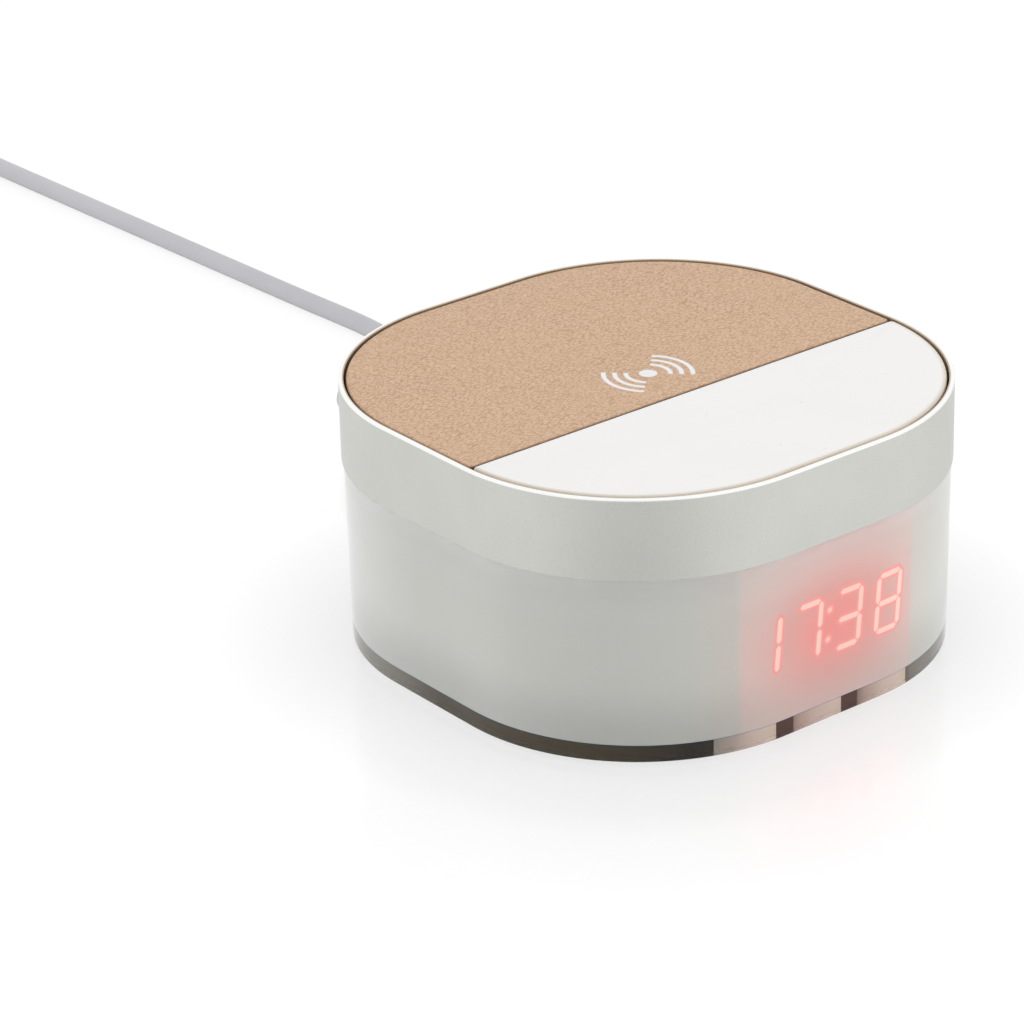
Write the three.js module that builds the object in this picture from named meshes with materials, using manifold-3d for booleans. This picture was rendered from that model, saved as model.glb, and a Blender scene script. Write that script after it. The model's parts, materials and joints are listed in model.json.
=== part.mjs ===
// Wireless charging clock: a rounded square table clock with a charging pad on top, a four digit light
// display behind a frosted clear body, three buttons underneath and a supply cable at the back.
// Millimetres, +Z up. The origin is the centre of the footprint on the table, +X is to the right seen from
// the display, the display faces -Y and the cable leaves towards +Y.
import * as THREE from "three";
import { mergeVertices } from "three/addons/utils/BufferGeometryUtils.js";
import Module from "manifold-3d";

const wasm = await Module();
wasm.setup();

// Driving dimensions of the case
const WIDTH = 90; // across the rim, both ways
const STRAIGHT_SIDE = 20; // of the rim's outline, between its round corners
const HEIGHT = 45.3; // table to rim
const FOOT_HEIGHT = 1; // how far the feet stand proud
const RING_HEIGHT = 12.75;
const RING_FLARE = 0.7; // how much wider the ring is at its lower edge, per side
const RING_WALL = 2.55; // at the lower edge
const RIM = 0.9; // flat top of the ring
const RIM_CHAMFER = 0.25;
const PAD_EDGE = 0.35; // rounded edges of the leather pad
const PLATE_EDGE = 0.3; // and of the front plate
const SHELF_WIDTH = 2.3; // inner ledge of the ring
const SHELF_THICKNESS = 1.2;
const INLAY_THICKNESS = 1.5; // leather pad and front plate
const INLAY_GAP = 0.35; // between ring and inlays
const CARRIER_THICKNESS = 1.8;
const DIVIDER_Y = -10.55; // line between leather pad and front plate
const DIVIDER_GAP = 0.5;
const DIVIDER_CORNER = 0.8;
const SLEEVE_STEP = 0.3; // sleeve's set back under the ring
const SLEEVE_DRAFT = 1.06; // how much narrower the sleeve is at its foot, per side
const SLEEVE_WALL = 2.4;
const LINER_WALL = 1.2;
const CLEAR_STRIP = 2.86; // clear band of the sleeve under the liner
const FLOOR_THICKNESS = 1.8;
const TRAY_WALL = 1.4;
const TRAY_WALL_TOP = 9;
const PLUG_NOTCH_REACH = 2; // of the tray's notch, under the main board's tab

// Driving dimensions of the fixings
const POST_DEPTH = 10.25; // centre of each screw post, foot and base screw, in from the round corner
const POST_RADIUS = 3.5;
const POST_TIP_RADIUS = 3;
const BOSS_RADIUS = 5.6;
const BOSS_TOP = 7;
const BASE_SHANK_RADIUS = 1.3;
const BASE_SHANK_LENGTH = 11;
const BASE_HEAD_RADIUS = 2.8;
const BASE_HEAD_HEIGHT = 2;
const FOOT_RADIUS = 4.5;
const FOOT_RECESS = 0.8;
const FOOT_CHAMFER = 0.4;
const SMALL_SHANK_RADIUS = 0.85;
const SMALL_HEAD_RADIUS = 1.9;
const SMALL_HEAD_HEIGHT = 1.3;
const SMALL_SCREW_LENGTH = 5;
const SMALL_BOSS_RADIUS = 2.4;

// Driving dimensions of the display
const FRAME_SIDE = 2; // of the display frame, beside the light display
const FRAME_DEPTH = 1.5; // from the display's face to the back of the frame
const FRAME_SLOT_WIDTH = 3.4;
const FRAME_SLOT_X = 6.8;
const FRAME_SLOT_TOP = 6;
const FRAME_TAB = 4;
const FRAME_TAB_THICKNESS = 1.5;
const DISPLAY_SIDE_MARGIN = 1.4; // beside the outer digits' share of the face
const DISPLAY_TOP_MARGIN = 2.7; // above and below the digits
const DISPLAY_DEPTH = 5.8;
const DISPLAY_GAP = 0.4; // between the display's front corners and the liner
const DISPLAY_CENTRE_Z = 16.25;
const DISPLAY_WALL = 1.2;
const DIGIT_PITCH = 8.3;
const DIGIT_WIDTH = 4.6; // between segment centre lines
const DIGIT_HEIGHT = 9.5; // between segment centre lines
const DIGIT_SLANT = 0.138; // sideways run per height
const SEGMENT_STROKE = 1.1;
const SEGMENT_END_GAP = 0.42;
const COLON_RADIUS = 0.6;
const COLON_SPACING = 5;
const LENS_THICKNESS = 1;
const LENS_SETBACK = 0.1; // light segments behind the face
const DISPLAY_SCREW_X = 13;
const DISPLAY_SCREW_INSET = 1.95; // screw centre from the board's edge
const FRAME_MARGIN = 0.6; // frame above the board

// Driving dimensions of the electronics
const BOARD_THICKNESS = 1.6;
const BOARD_UNDERSIDE = 9;
const BOARD_POST_GAP = 0.8; // between the main board's sides and the screw posts
const BOARD_FRONT_Y = -12;
const BOARD_BACK_INSET = 16; // in from the back of the rim
const BOARD_TAB_HALF_WIDTH = 9;
const BOARD_TAB_INSET = 7.4; // in from the back of the rim
const STANDOFF_RADIUS = 2.6;
const STANDOFF_SIDE_INSET = 3.2; // from the main board's edges
const STANDOFF_FRONT_INSET = 4;
const STANDOFF_BACK_INSET = 3.5;
const CONNECTOR_HALF_WIDTH = 7;
const CONNECTOR_HEIGHT = 3;
const CONNECTOR_DEPTH = 4;
const CONNECTOR_INSET = 2; // from the main board's front edge
const RIBBON_THICKNESS = 0.4;
const RIBBON_HALF_WIDTH = 5.5;
const RIBBON_RISE = 4;
const CHARGER_CHIP_Y = 5;
const CHARGER_CHIP_SIZE = 6;
const CHARGER_CHIP_HEIGHT = 0.9;
const CLOCK_CHIP_X = -12;
const CLOCK_CHIP_Y = 2.65;
const CLOCK_CHIP_WIDTH = 10;
const CLOCK_CHIP_DEPTH = 5.3;
const CLOCK_CHIP_HEIGHT = 1.6;
const INDUCTOR_Y = 16;
const INDUCTOR_SIZE = 8;
const INDUCTOR_CORNER = 1.5;
const INDUCTOR_HEIGHT = 4;
const CAPACITOR_X = -11;
const CAPACITOR_Y = 14;
const CAPACITOR_RADIUS = 3.1;
const CAPACITOR_HEIGHT = 7.5;
const BUTTON_PITCH = 14;
const BUTTON_SETBACK = 7.5; // in front of the rear standoffs
const BUTTON_RADIUS = 3.3;
const BUTTON_FLANGE_RADIUS = 4.4;
const BUTTON_FLANGE_THICKNESS = 0.8;
const BUTTON_STEM_RADIUS = 1.5;
const BUTTON_RECESS = 0.1; // its lip lies this far inside the tray's underside
const BUTTON_DISH = 0.4; // depth of its hollow face
const BUTTON_LIP = 1;
const BUTTON_CHAMFER = 0.3;
const BUTTON_TRAVEL = 0.4;
const SWITCH_SIZE = 6;
const SWITCH_HEIGHT = 3.5;
const PLUNGER_RADIUS = 1.6;
const PLUNGER_REACH = 1; // below the switch housing
const PLUNGER_DEPTH = 0.5; // inside the switch housing
const COIL_INNER_RADIUS = 10.25;
const COIL_PITCH = 1.2;
const COIL_WIRE = 0.75;
const COIL_MARGIN = 0.75; // between the outermost loop's centre line and the shield's edge
const COIL_GLUE = 0.1; // between carrier and coil
const SHIELD_GLUE = 0.2; // between coil and shield
const SHIELD_POST_GAP = 4.5; // from the shield's edge to the centre of the screw posts
const SHIELD_THICKNESS = 0.9;
const LEAD_HOLE_INSET = 1.2; // inside the coil's first turn
const LEAD_HOLE_Y = -4;
const LEAD_HOLE_RADIUS = 1.1;
const LEAD_SWING = 3; // sideways run of the inner lead
const LEAD_BEND = 5; // how far the outer lead runs on before it turns down
const LEAD_CLEARANCE = 1.6; // between the outer lead's centre line and the shield
const LEAD_PAD_INSET = 4; // from the main board's edge

// Driving dimensions of the cable, its plugs and its coil
const SOCKET_WIDTH = 7.6;
const SOCKET_HEIGHT = 2.8;
const SOCKET_DEPTH = 5.6;
const SOCKET_WALL = 0.3;
const SOCKET_CORNER = 0.8;
const SOCKET_OVERHANG = 2.4; // past the main board's tab
const PLUG_WIDTH = 10.6;
const PLUG_HEIGHT = 6.6;
const PLUG_LENGTH = 19;
const PLUG_INSET = 3.6; // front of the plug's body, in from the back of the rim
const PLUG_CORNER = 2;
const PLUG_BEVEL = 0.6;
const PLUG_SHELL_LENGTH = 5.4;
const PLUG_SHELL_CORNER = 0.5;
const PLUG_SHELL_WALL = 0.3;
const PLUG_SHELL_FLOOR = 2; // its mouth stops this far from the plug's body
const PLUG_SHELL_SEAT = 0.1; // between shell and body
const RELIEF_LENGTH = 11;
const RELIEF_RADIUS = 2.9;
const RELIEF_TIP_RADIUS = 2.3;
const RELIEF_GROOVES = 3;
const RELIEF_GROOVE_DEPTH = 0.35;
const CORD_DIAMETER = 3.6;
const CORD_LOOPS = 9.5;
const CORD_LAYERS = 4;
const CORD_LAYER_PITCH = 4.1;
const CORD_MEAN_RADIUS = 20.3;
const CORD_COIL_X = 8.8;
const CORD_COIL_Y = 296;
const TAIL_LENGTH = 42; // from the coil to the supply plug
const TIE_WIDTH = 6;
const TIE_THICKNESS = 0.6;
const TIE_SLACK = 0.65;
const TIE_CORNER = 1;
const SUPPLY_SHELL_WIDTH = 12;
const SUPPLY_SHELL_HEIGHT = 4.5;
const SUPPLY_SHELL_LENGTH = 14;
const SUPPLY_SHELL_CORNER = 0.5;
const SUPPLY_SHELL_WALL = 0.4;
const SUPPLY_SHELL_FLOOR = 2;
const SUPPLY_TONGUE_WIDTH = 10.4;
const SUPPLY_TONGUE_THICKNESS = 1.85;
const SUPPLY_TONGUE_RECESS = 0.6; // behind the shell's mouth
const SUPPLY_BODY_WIDTH = 15.4;
const SUPPLY_BODY_HEIGHT = 8;
const SUPPLY_BODY_LENGTH = 22;
const SUPPLY_BEVEL = 0.8;

// Clearances
const FIT = 0.3; // between shells and between pieces that meet end to end
const BOND = 0.15; // glued layer between sleeve and liner
const SEGMENT_FIT = 0.15; // round each light segment
const PORT_CLEARANCE = 0.6; // between plug and port hole
const SHANK_FIT = 0.2; // between a screw shank and its bore
const WINDOW_FIT = 0.3;
const PLUG_SHELL_FIT = 0.25; // between the plug's shell and the socket
const CUT_PAST = 1; // how far a cutting shape runs past what it cuts

// Levels and places that follow
const CORNER_RADIUS = (WIDTH - STRAIGHT_SIDE) / 2;
const POST_SPOT = STRAIGHT_SIDE / 2 + (CORNER_RADIUS - POST_DEPTH) / Math.SQRT2;
const BOARD_HALF_WIDTH = POST_SPOT - POST_RADIUS - BOARD_POST_GAP;
const BOARD_BACK_Y = WIDTH / 2 - BOARD_BACK_INSET;
const BOARD_TAB_Y = WIDTH / 2 - BOARD_TAB_INSET;
const STANDOFF_X = BOARD_HALF_WIDTH - STANDOFF_SIDE_INSET;
const STANDOFF_FRONT_Y = BOARD_FRONT_Y + STANDOFF_FRONT_INSET;
const STANDOFF_BACK_Y = BOARD_BACK_Y - STANDOFF_BACK_INSET;
const BUTTON_Y = STANDOFF_BACK_Y - BUTTON_SETBACK;
const DISPLAY_HALF_WIDTH = 2 * DIGIT_PITCH + DISPLAY_SIDE_MARGIN;
const DISPLAY_HEIGHT = DIGIT_HEIGHT + 2 * DISPLAY_TOP_MARGIN;
const FRAME_HALF_WIDTH = DISPLAY_HALF_WIDTH + FRAME_SIDE;
const SHIELD_SIZE = 2 * (POST_SPOT - SHIELD_POST_GAP);
const COIL_TURNS = Math.floor((SHIELD_SIZE / 2 - COIL_MARGIN - COIL_INNER_RADIUS) / COIL_PITCH);
const PLUG_START_Y = WIDTH / 2 - PLUG_INSET;
const RING_BOTTOM = HEIGHT - RING_HEIGHT;
const SLEEVE_BOTTOM = FOOT_HEIGHT;
const INLAY_BOTTOM = HEIGHT - INLAY_THICKNESS;
const SHELF_TOP = INLAY_BOTTOM - CARRIER_THICKNESS;
const SHELF_BOTTOM = SHELF_TOP - SHELF_THICKNESS;
const FLOOR_TOP = SLEEVE_BOTTOM + FLOOR_THICKNESS;
const LINER_BOTTOM = SLEEVE_BOTTOM + CLEAR_STRIP;
const BOARD_TOP = BOARD_UNDERSIDE + BOARD_THICKNESS;
const PORT_Z = BOARD_TOP + SOCKET_HEIGHT / 2;
const CORD_RADIUS = CORD_DIAMETER / 2;
const CORNERS = [[1, 1], [-1, 1], [-1, -1], [1, -1]];
const CORNER_STEPS = 10; // faces round each corner of the case
const ARC_DIVISIONS = CORNER_STEPS / 2; // an arc of a shape gets two faces per division
const ROUND_SIDES = 16;
const LOOP_STEPS = 24; // points round each loop of a coil
const SMALL_SIDES = 10;

// Insets are measured inwards from the rim's outline. The sleeve's outside leans inwards on its way down.
const sleeveOutside = (z) =>
  SLEEVE_STEP - RING_FLARE + (SLEEVE_DRAFT * (RING_BOTTOM - z)) / (RING_BOTTOM - SLEEVE_BOTTOM);
const sleeveInside = (z) => sleeveOutside(z) + SLEEVE_WALL;
const linerOutside = (z) => sleeveInside(z) + BOND;
const linerInside = (z) => linerOutside(z) + LINER_WALL;
const FLOOR_INSET = sleeveInside(SLEEVE_BOTTOM) + FIT;
const TRAY_WALL_INSET = linerInside(LINER_BOTTOM) + FIT;

// Where the front of the outline lies at x, for an inset
function frontAt(x, inset) {
  const past = Math.max(0, Math.abs(x) - STRAIGHT_SIDE / 2);
  return -STRAIGHT_SIDE / 2 - Math.sqrt((CORNER_RADIUS - inset) ** 2 - past ** 2);
}

const displayLow = DISPLAY_CENTRE_Z - DISPLAY_HEIGHT / 2;
const displayHigh = DISPLAY_CENTRE_Z + DISPLAY_HEIGHT / 2;
const DISPLAY_FACE_Y = frontAt(DISPLAY_HALF_WIDTH, linerInside(displayLow)) + DISPLAY_GAP;
const FRAME_BACK_Y = DISPLAY_FACE_Y + FRAME_DEPTH;

// Turns a shape drawn in X and Y, and extruded along Z, so that it stands up and runs along X.
const STANDING = new THREE.Matrix4().makeBasis(
  new THREE.Vector3(0, 1, 0),
  new THREE.Vector3(0, 0, 1),
  new THREE.Vector3(1, 0, 0),
);

// Geometry helpers

function solid(geometry) {
  const bare = geometry.clone();
  bare.deleteAttribute("normal");
  bare.deleteAttribute("uv");
  const merged = mergeVertices(bare, 1e-4);
  return new wasm.Manifold(
    new wasm.Mesh({
      numProp: 3,
      vertProperties: new Float32Array(merged.attributes.position.array),
      triVerts: new Uint32Array(merged.index.array),
    }),
  );
}

function geometryOf(manifold) {
  const mesh = manifold.getMesh();
  const positions = new Float32Array(mesh.numVert * 3);
  for (let i = 0; i < mesh.numVert; i++) {
    positions.set(mesh.vertProperties.subarray(i * mesh.numProp, i * mesh.numProp + 3), i * 3);
  }
  const geometry = new THREE.BufferGeometry();
  geometry.setAttribute("position", new THREE.BufferAttribute(positions, 3));
  geometry.setIndex(new THREE.BufferAttribute(new Uint32Array(mesh.triVerts), 1));
  geometry.computeVertexNormals();
  return geometry;
}

const cut = (base, ...tools) =>
  geometryOf(tools.reduce((sum, tool) => sum.subtract(solid(tool)), solid(base)));
const join = (base, ...others) =>
  geometryOf(others.reduce((sum, other) => sum.add(solid(other)), solid(base)));
const keep = (base, tool) => geometryOf(solid(base).intersect(solid(tool)));

// A closed shape of straight sides joined by round corners
function roundedRectangle(width, height, radius) {
  const shape = new THREE.Shape();
  CORNERS.forEach(([sx, sy], i) => {
    const x = sx * (width / 2 - radius);
    const y = sy * (height / 2 - radius);
    shape.absarc(x, y, radius, (i * Math.PI) / 2, ((i + 1) * Math.PI) / 2);
  });
  return shape;
}

// The outline of the clock at an inset
const outline = (inset) => roundedRectangle(WIDTH - 2 * inset, WIDTH - 2 * inset, CORNER_RADIUS - inset);

// A closed wall that follows the outline. The profile lists [inset, z] anticlockwise, with the outside right.
function wall(profile) {
  const centre = WIDTH / 2 - CORNER_RADIUS;
  const positions = [];
  CORNERS.forEach(([sx, sy], corner) => {
    for (let step = 0; step <= CORNER_STEPS; step++) {
      const angle = ((corner + step / CORNER_STEPS) * Math.PI) / 2;
      for (const [inset, z] of profile) {
        const radius = CORNER_RADIUS - inset;
        positions.push(sx * centre + radius * Math.cos(angle), sy * centre + radius * Math.sin(angle), z);
      }
    }
  });
  return closedBand(positions, profile.length, positions.length / 3 / profile.length, true);
}

// Faces between rings of points. The band closes on itself or has flat ends.
function closedBand(positions, sides, rings, loops) {
  const index = [];
  const spans = loops ? rings : rings - 1;
  for (let ring = 0; ring < spans; ring++) {
    const here = ring * sides;
    const next = ((ring + 1) % rings) * sides;
    for (let side = 0; side < sides; side++) {
      const after = (side + 1) % sides;
      index.push(here + side, next + side, next + after, here + side, next + after, here + after);
    }
  }
  if (!loops) {
    const last = (rings - 1) * sides;
    for (let side = 1; side < sides - 1; side++) {
      index.push(0, side, side + 1, last, last + side + 1, last + side);
    }
  }
  const geometry = new THREE.BufferGeometry();
  geometry.setAttribute("position", new THREE.Float32BufferAttribute(positions, 3));
  geometry.setIndex(index);
  geometry.computeVertexNormals();
  return geometry;
}

// A tube through points, with flat ends square to its first and last stretch.
function tubeThrough(points, radius, sides) {
  const positions = [];
  const tangent = (i) =>
    points[Math.min(i + 1, points.length - 1)].clone().sub(points[Math.max(i - 1, 0)]).normalize();
  const across = new THREE.Vector3(0, 0, 1);
  points.forEach((point, i) => {
    const along = tangent(i);
    across.addScaledVector(along, -across.dot(along)).normalize();
    const up = along.clone().cross(across);
    for (let side = 0; side < sides; side++) {
      const angle = (-2 * Math.PI * side) / sides;
      const spot = point
        .clone()
        .addScaledVector(across, radius * Math.cos(angle))
        .addScaledVector(up, radius * Math.sin(angle));
      positions.push(spot.x, spot.y, spot.z);
    }
  });
  return closedBand(positions, sides, points.length, false);
}

function plate(shape, bottom, top, bevel = 0) {
  const geometry = new THREE.ExtrudeGeometry(shape, {
    depth: top - bottom - 2 * bevel,
    curveSegments: ARC_DIVISIONS,
    bevelEnabled: bevel > 0,
    bevelThickness: bevel,
    bevelSize: bevel,
    bevelOffset: -bevel,
    bevelSegments: 2,
  });
  return geometry.translate(0, 0, bottom + bevel);
}

function block(xLow, xHigh, yLow, yHigh, zLow, zHigh) {
  const geometry = new THREE.BoxGeometry(xHigh - xLow, yHigh - yLow, zHigh - zLow);
  return geometry.translate((xLow + xHigh) / 2, (yLow + yHigh) / 2, (zLow + zHigh) / 2);
}

// An upright cylinder or cone
function pillar(x, y, zLow, zHigh, radiusLow, radiusHigh = radiusLow, sides = ROUND_SIDES) {
  const geometry = new THREE.CylinderGeometry(radiusHigh, radiusLow, zHigh - zLow, sides);
  return geometry.rotateX(Math.PI / 2).translate(x, y, (zLow + zHigh) / 2);
}

// A cylinder along Y
function rod(x, z, yLow, yHigh, radius, sides = ROUND_SIDES) {
  return new THREE.CylinderGeometry(radius, radius, yHigh - yLow, sides).translate(x, (yLow + yHigh) / 2, z);
}

// A bar with rounded edges along Y, centred on x = 0 at height z
function barAlongY(width, height, radius, yLow, yHigh, z, bevel = 0) {
  const geometry = new THREE.ExtrudeGeometry(roundedRectangle(width, height, radius), {
    depth: yHigh - yLow - 2 * bevel,
    curveSegments: 2,
    bevelEnabled: bevel > 0,
    bevelThickness: bevel,
    bevelSize: bevel,
    bevelOffset: -bevel,
    bevelSegments: 2,
  });
  return geometry.rotateX(-Math.PI / 2).translate(0, yLow + bevel, z);
}

// Materials
const material = (color, roughness, metalness = 0, extra = {}) =>
  new THREE.MeshStandardMaterial({ color, roughness, metalness, ...extra });
const SILVER = material(0xccccc6, 0.38, 0.6);
const LEATHER = material(0xcfaf92, 0.75);
const WHITE = material(0xf2f1ef, 0.35);
const BLACK = material(0x2c2823, 0.55);
const CLEAR = material(0xe8ecec, 0.08, 0, { transparent: true, opacity: 0.35 });
const FROSTED = material(0xc4c6be, 0.6);
const RUBBER = material(0x2a2a2a, 0.9);
const STEEL = material(0xb8b8b8, 0.3, 0.9);
const BOARD = material(0x1f5a3a, 0.5);
const COPPER = material(0xb56a3c, 0.35, 0.9);
const FERRITE = material(0x3a3a3c, 0.7);
const LIGHT = material(0xf5c8bc, 0.5, 0, { emissive: 0xe04030, emissiveIntensity: 0.6 });
const CORD = material(0xc1c0c5, 0.55);

const clock = new THREE.Group();

function add(name, geometry, surface) {
  const mesh = new THREE.Mesh(geometry, surface.clone());
  mesh.name = name;
  clock.add(mesh);
  return mesh;
}

// Top: ring, carrier with its four screw posts, leather pad and front plate

function topRing() {
  return wall([
    [RIM_CHAMFER, HEIGHT],
    [RIM, HEIGHT],
    [RIM, SHELF_TOP],
    [RIM + SHELF_WIDTH, SHELF_TOP],
    [RIM + SHELF_WIDTH, SHELF_BOTTOM],
    [RING_WALL - RING_FLARE, SHELF_BOTTOM],
    [RING_WALL - RING_FLARE, RING_BOTTOM],
    [-RING_FLARE, RING_BOTTOM],
    [0, HEIGHT - RIM_CHAMFER],
  ]);
}

function topCarrier() {
  const posts = CORNERS.map(([sx, sy]) =>
    pillar(sx * POST_SPOT, sy * POST_SPOT, BOSS_TOP, SHELF_TOP + FIT, POST_TIP_RADIUS, POST_RADIUS),
  );
  const bores = CORNERS.map(([sx, sy]) =>
    pillar(
      sx * POST_SPOT,
      sy * POST_SPOT,
      BOSS_TOP - FIT,
      baseHeadTop() + BASE_SHANK_LENGTH + CUT_PAST,
      BASE_SHANK_RADIUS + SHANK_FIT,
    ),
  );
  const sheet = plate(outline(RIM + FIT), SHELF_TOP, INLAY_BOTTOM);
  return cut(join(sheet, ...posts), ...bores);
}

// One side of the split top, written for the +Y side: the edge at startY has small round corners.
function inlayShape(startY) {
  const half = WIDTH / 2 - RIM - INLAY_GAP;
  const radius = CORNER_RADIUS - RIM - INLAY_GAP;
  const centre = half - radius;
  const sideY = startY + DIVIDER_CORNER;
  const first = Math.asin(Math.max(0, (sideY - centre) / radius));
  const edge = centre + radius * Math.cos(first);
  const shape = new THREE.Shape();
  shape.absarc(edge - DIVIDER_CORNER, sideY, DIVIDER_CORNER, -Math.PI / 2, 0);
  shape.absarc(centre, centre, radius, first, Math.PI / 2);
  shape.absarc(-centre, centre, radius, Math.PI / 2, Math.PI - first);
  shape.absarc(DIVIDER_CORNER - edge, sideY, DIVIDER_CORNER, Math.PI, 1.5 * Math.PI);
  return shape;
}

const leatherPad = () => plate(inlayShape(DIVIDER_Y + DIVIDER_GAP / 2), INLAY_BOTTOM, HEIGHT, PAD_EDGE);
const frontPlate = () =>
  plate(inlayShape(-DIVIDER_Y + DIVIDER_GAP / 2), INLAY_BOTTOM, HEIGHT, PLATE_EDGE).rotateZ(Math.PI);

// Body: clear sleeve with a frosted liner, both with a hole for the plug

function portHole(yLow) {
  const width = PLUG_WIDTH + 2 * PORT_CLEARANCE;
  const height = PLUG_HEIGHT + 2 * PORT_CLEARANCE;
  return barAlongY(width, height, PLUG_CORNER, yLow, WIDTH / 2 + RING_FLARE + CUT_PAST, PORT_Z);
}

function clearSleeve() {
  const sleeve = wall([
    [sleeveOutside(RING_BOTTOM), RING_BOTTOM],
    [sleeveInside(RING_BOTTOM), RING_BOTTOM],
    [sleeveInside(SLEEVE_BOTTOM), SLEEVE_BOTTOM],
    [sleeveOutside(SLEEVE_BOTTOM), SLEEVE_BOTTOM],
  ]);
  return cut(sleeve, portHole(WIDTH / 3));
}

function diffuserLiner() {
  const liner = wall([
    [linerOutside(RING_BOTTOM), SHELF_BOTTOM],
    [linerInside(RING_BOTTOM), SHELF_BOTTOM],
    [linerInside(RING_BOTTOM), RING_BOTTOM],
    [linerInside(LINER_BOTTOM), LINER_BOTTOM],
    [linerOutside(LINER_BOTTOM), LINER_BOTTOM],
    [linerOutside(RING_BOTTOM), RING_BOTTOM],
  ]);
  return cut(liner, portHole(WIDTH / 3));
}

// Base: tray with screw bosses, standoffs and button holes, feet and screws

const baseHeadTop = () => SLEEVE_BOTTOM + FOOT_RECESS + 2 * SHANK_FIT + BASE_HEAD_HEIGHT;
const buttonX = (index) => (index - 1) * BUTTON_PITCH;
const STANDOFFS = [
  [STANDOFF_X, STANDOFF_FRONT_Y],
  [-STANDOFF_X, STANDOFF_BACK_Y],
  [-STANDOFF_X, STANDOFF_FRONT_Y],
  [STANDOFF_X, STANDOFF_BACK_Y],
];
const SCREWED_STANDOFFS = STANDOFFS.slice(0, 2);

function baseTray() {
  const rim = wall([
    [FLOOR_INSET, LINER_BOTTOM],
    [TRAY_WALL_INSET, LINER_BOTTOM],
    [TRAY_WALL_INSET, TRAY_WALL_TOP],
    [TRAY_WALL_INSET + TRAY_WALL, TRAY_WALL_TOP],
    [TRAY_WALL_INSET + TRAY_WALL, SLEEVE_BOTTOM],
    [FLOOR_INSET, SLEEVE_BOTTOM],
  ]);
  const floor = plate(outline(TRAY_WALL_INSET), SLEEVE_BOTTOM, FLOOR_TOP);
  const bosses = CORNERS.map(([sx, sy]) =>
    pillar(sx * POST_SPOT, sy * POST_SPOT, SLEEVE_BOTTOM, BOSS_TOP, BOSS_RADIUS),
  );
  const standoffs = STANDOFFS.map(([x, y]) => pillar(x, y, SLEEVE_BOTTOM, BOARD_UNDERSIDE, STANDOFF_RADIUS));
  const footRecesses = CORNERS.map(([sx, sy]) =>
    pillar(sx * POST_SPOT, sy * POST_SPOT, 0, SLEEVE_BOTTOM + FOOT_RECESS, FOOT_RADIUS + SHANK_FIT),
  );
  const headRecesses = CORNERS.map(([sx, sy]) =>
    pillar(sx * POST_SPOT, sy * POST_SPOT, 0, baseHeadTop(), BASE_HEAD_RADIUS + SHANK_FIT),
  );
  const bores = CORNERS.map(([sx, sy]) =>
    pillar(sx * POST_SPOT, sy * POST_SPOT, 0, BOSS_TOP + CUT_PAST, BASE_SHANK_RADIUS + SHANK_FIT),
  );
  const boardBores = SCREWED_STANDOFFS.map(([x, y]) =>
    pillar(x, y, BOARD_TOP - SMALL_SCREW_LENGTH - FIT, BOARD_TOP, SMALL_SHANK_RADIUS + SHANK_FIT),
  );
  const buttonHoles = [0, 1, 2].map((i) =>
    pillar(buttonX(i), BUTTON_Y, 0, FLOOR_TOP + CUT_PAST, BUTTON_RADIUS + FIT),
  );
  const frameNotch = block(
    -FRAME_HALF_WIDTH - FIT,
    FRAME_HALF_WIDTH + FIT,
    -WIDTH / 2,
    FRAME_BACK_Y + FIT,
    0,
    TRAY_WALL_TOP + CUT_PAST,
  );
  const tabNotch = block(
    -FRAME_HALF_WIDTH - FIT,
    FRAME_HALF_WIDTH + FIT,
    -WIDTH / 2,
    FRAME_BACK_Y + FRAME_TAB + FIT,
    FLOOR_TOP,
    TRAY_WALL_TOP + CUT_PAST,
  );
  const plugNotch = block(
    -BOARD_TAB_HALF_WIDTH - FIT,
    BOARD_TAB_HALF_WIDTH + FIT,
    BOARD_TAB_Y - PLUG_NOTCH_REACH,
    WIDTH / 2,
    BOARD_UNDERSIDE - SOCKET_HEIGHT,
    TRAY_WALL_TOP + CUT_PAST,
  );
  return cut(
    join(rim, floor, ...bosses, ...standoffs),
    ...footRecesses,
    ...headRecesses,
    ...bores,
    ...boardBores,
    ...buttonHoles,
    frameNotch,
    tabNotch,
    plugNotch,
  );
}

function foot() {
  const top = SLEEVE_BOTTOM + FOOT_RECESS;
  const profile = [
    [0, 0],
    [FOOT_RADIUS - FOOT_CHAMFER, 0],
    [FOOT_RADIUS, FOOT_CHAMFER],
    [FOOT_RADIUS, top],
    [0, top],
  ];
  return revolve(profile, ROUND_SIDES);
}

// A solid of revolution about +Z from [radius, z] points that start and end on the axis
function revolve(profile, sides) {
  const points = profile.map(([radius, z]) => new THREE.Vector2(radius, z));
  return new THREE.LatheGeometry(points, sides).rotateX(Math.PI / 2);
}

// A pan head screw that points up from z = 0, the underside of its head, with a cross recess
function screw(shankRadius, shankLength, headRadius, headHeight) {
  const body = revolve(
    [
      [0, -headHeight],
      [headRadius * 0.7, -headHeight],
      [headRadius, -headHeight * 0.55],
      [headRadius, 0],
      [shankRadius, 0],
      [shankRadius, shankLength - shankRadius],
      [0, shankLength],
    ],
    SMALL_SIDES,
  );
  const arm = headRadius * 0.55;
  const slot = headRadius * 0.12;
  const depth = -headHeight * 0.5;
  return cut(
    body,
    block(-arm, arm, -slot, slot, -headHeight - 1, depth),
    block(-slot, slot, -arm, arm, -headHeight - 1, depth),
  );
}

// Display: white frame that stands in the tray's notch, light display and its board

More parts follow.
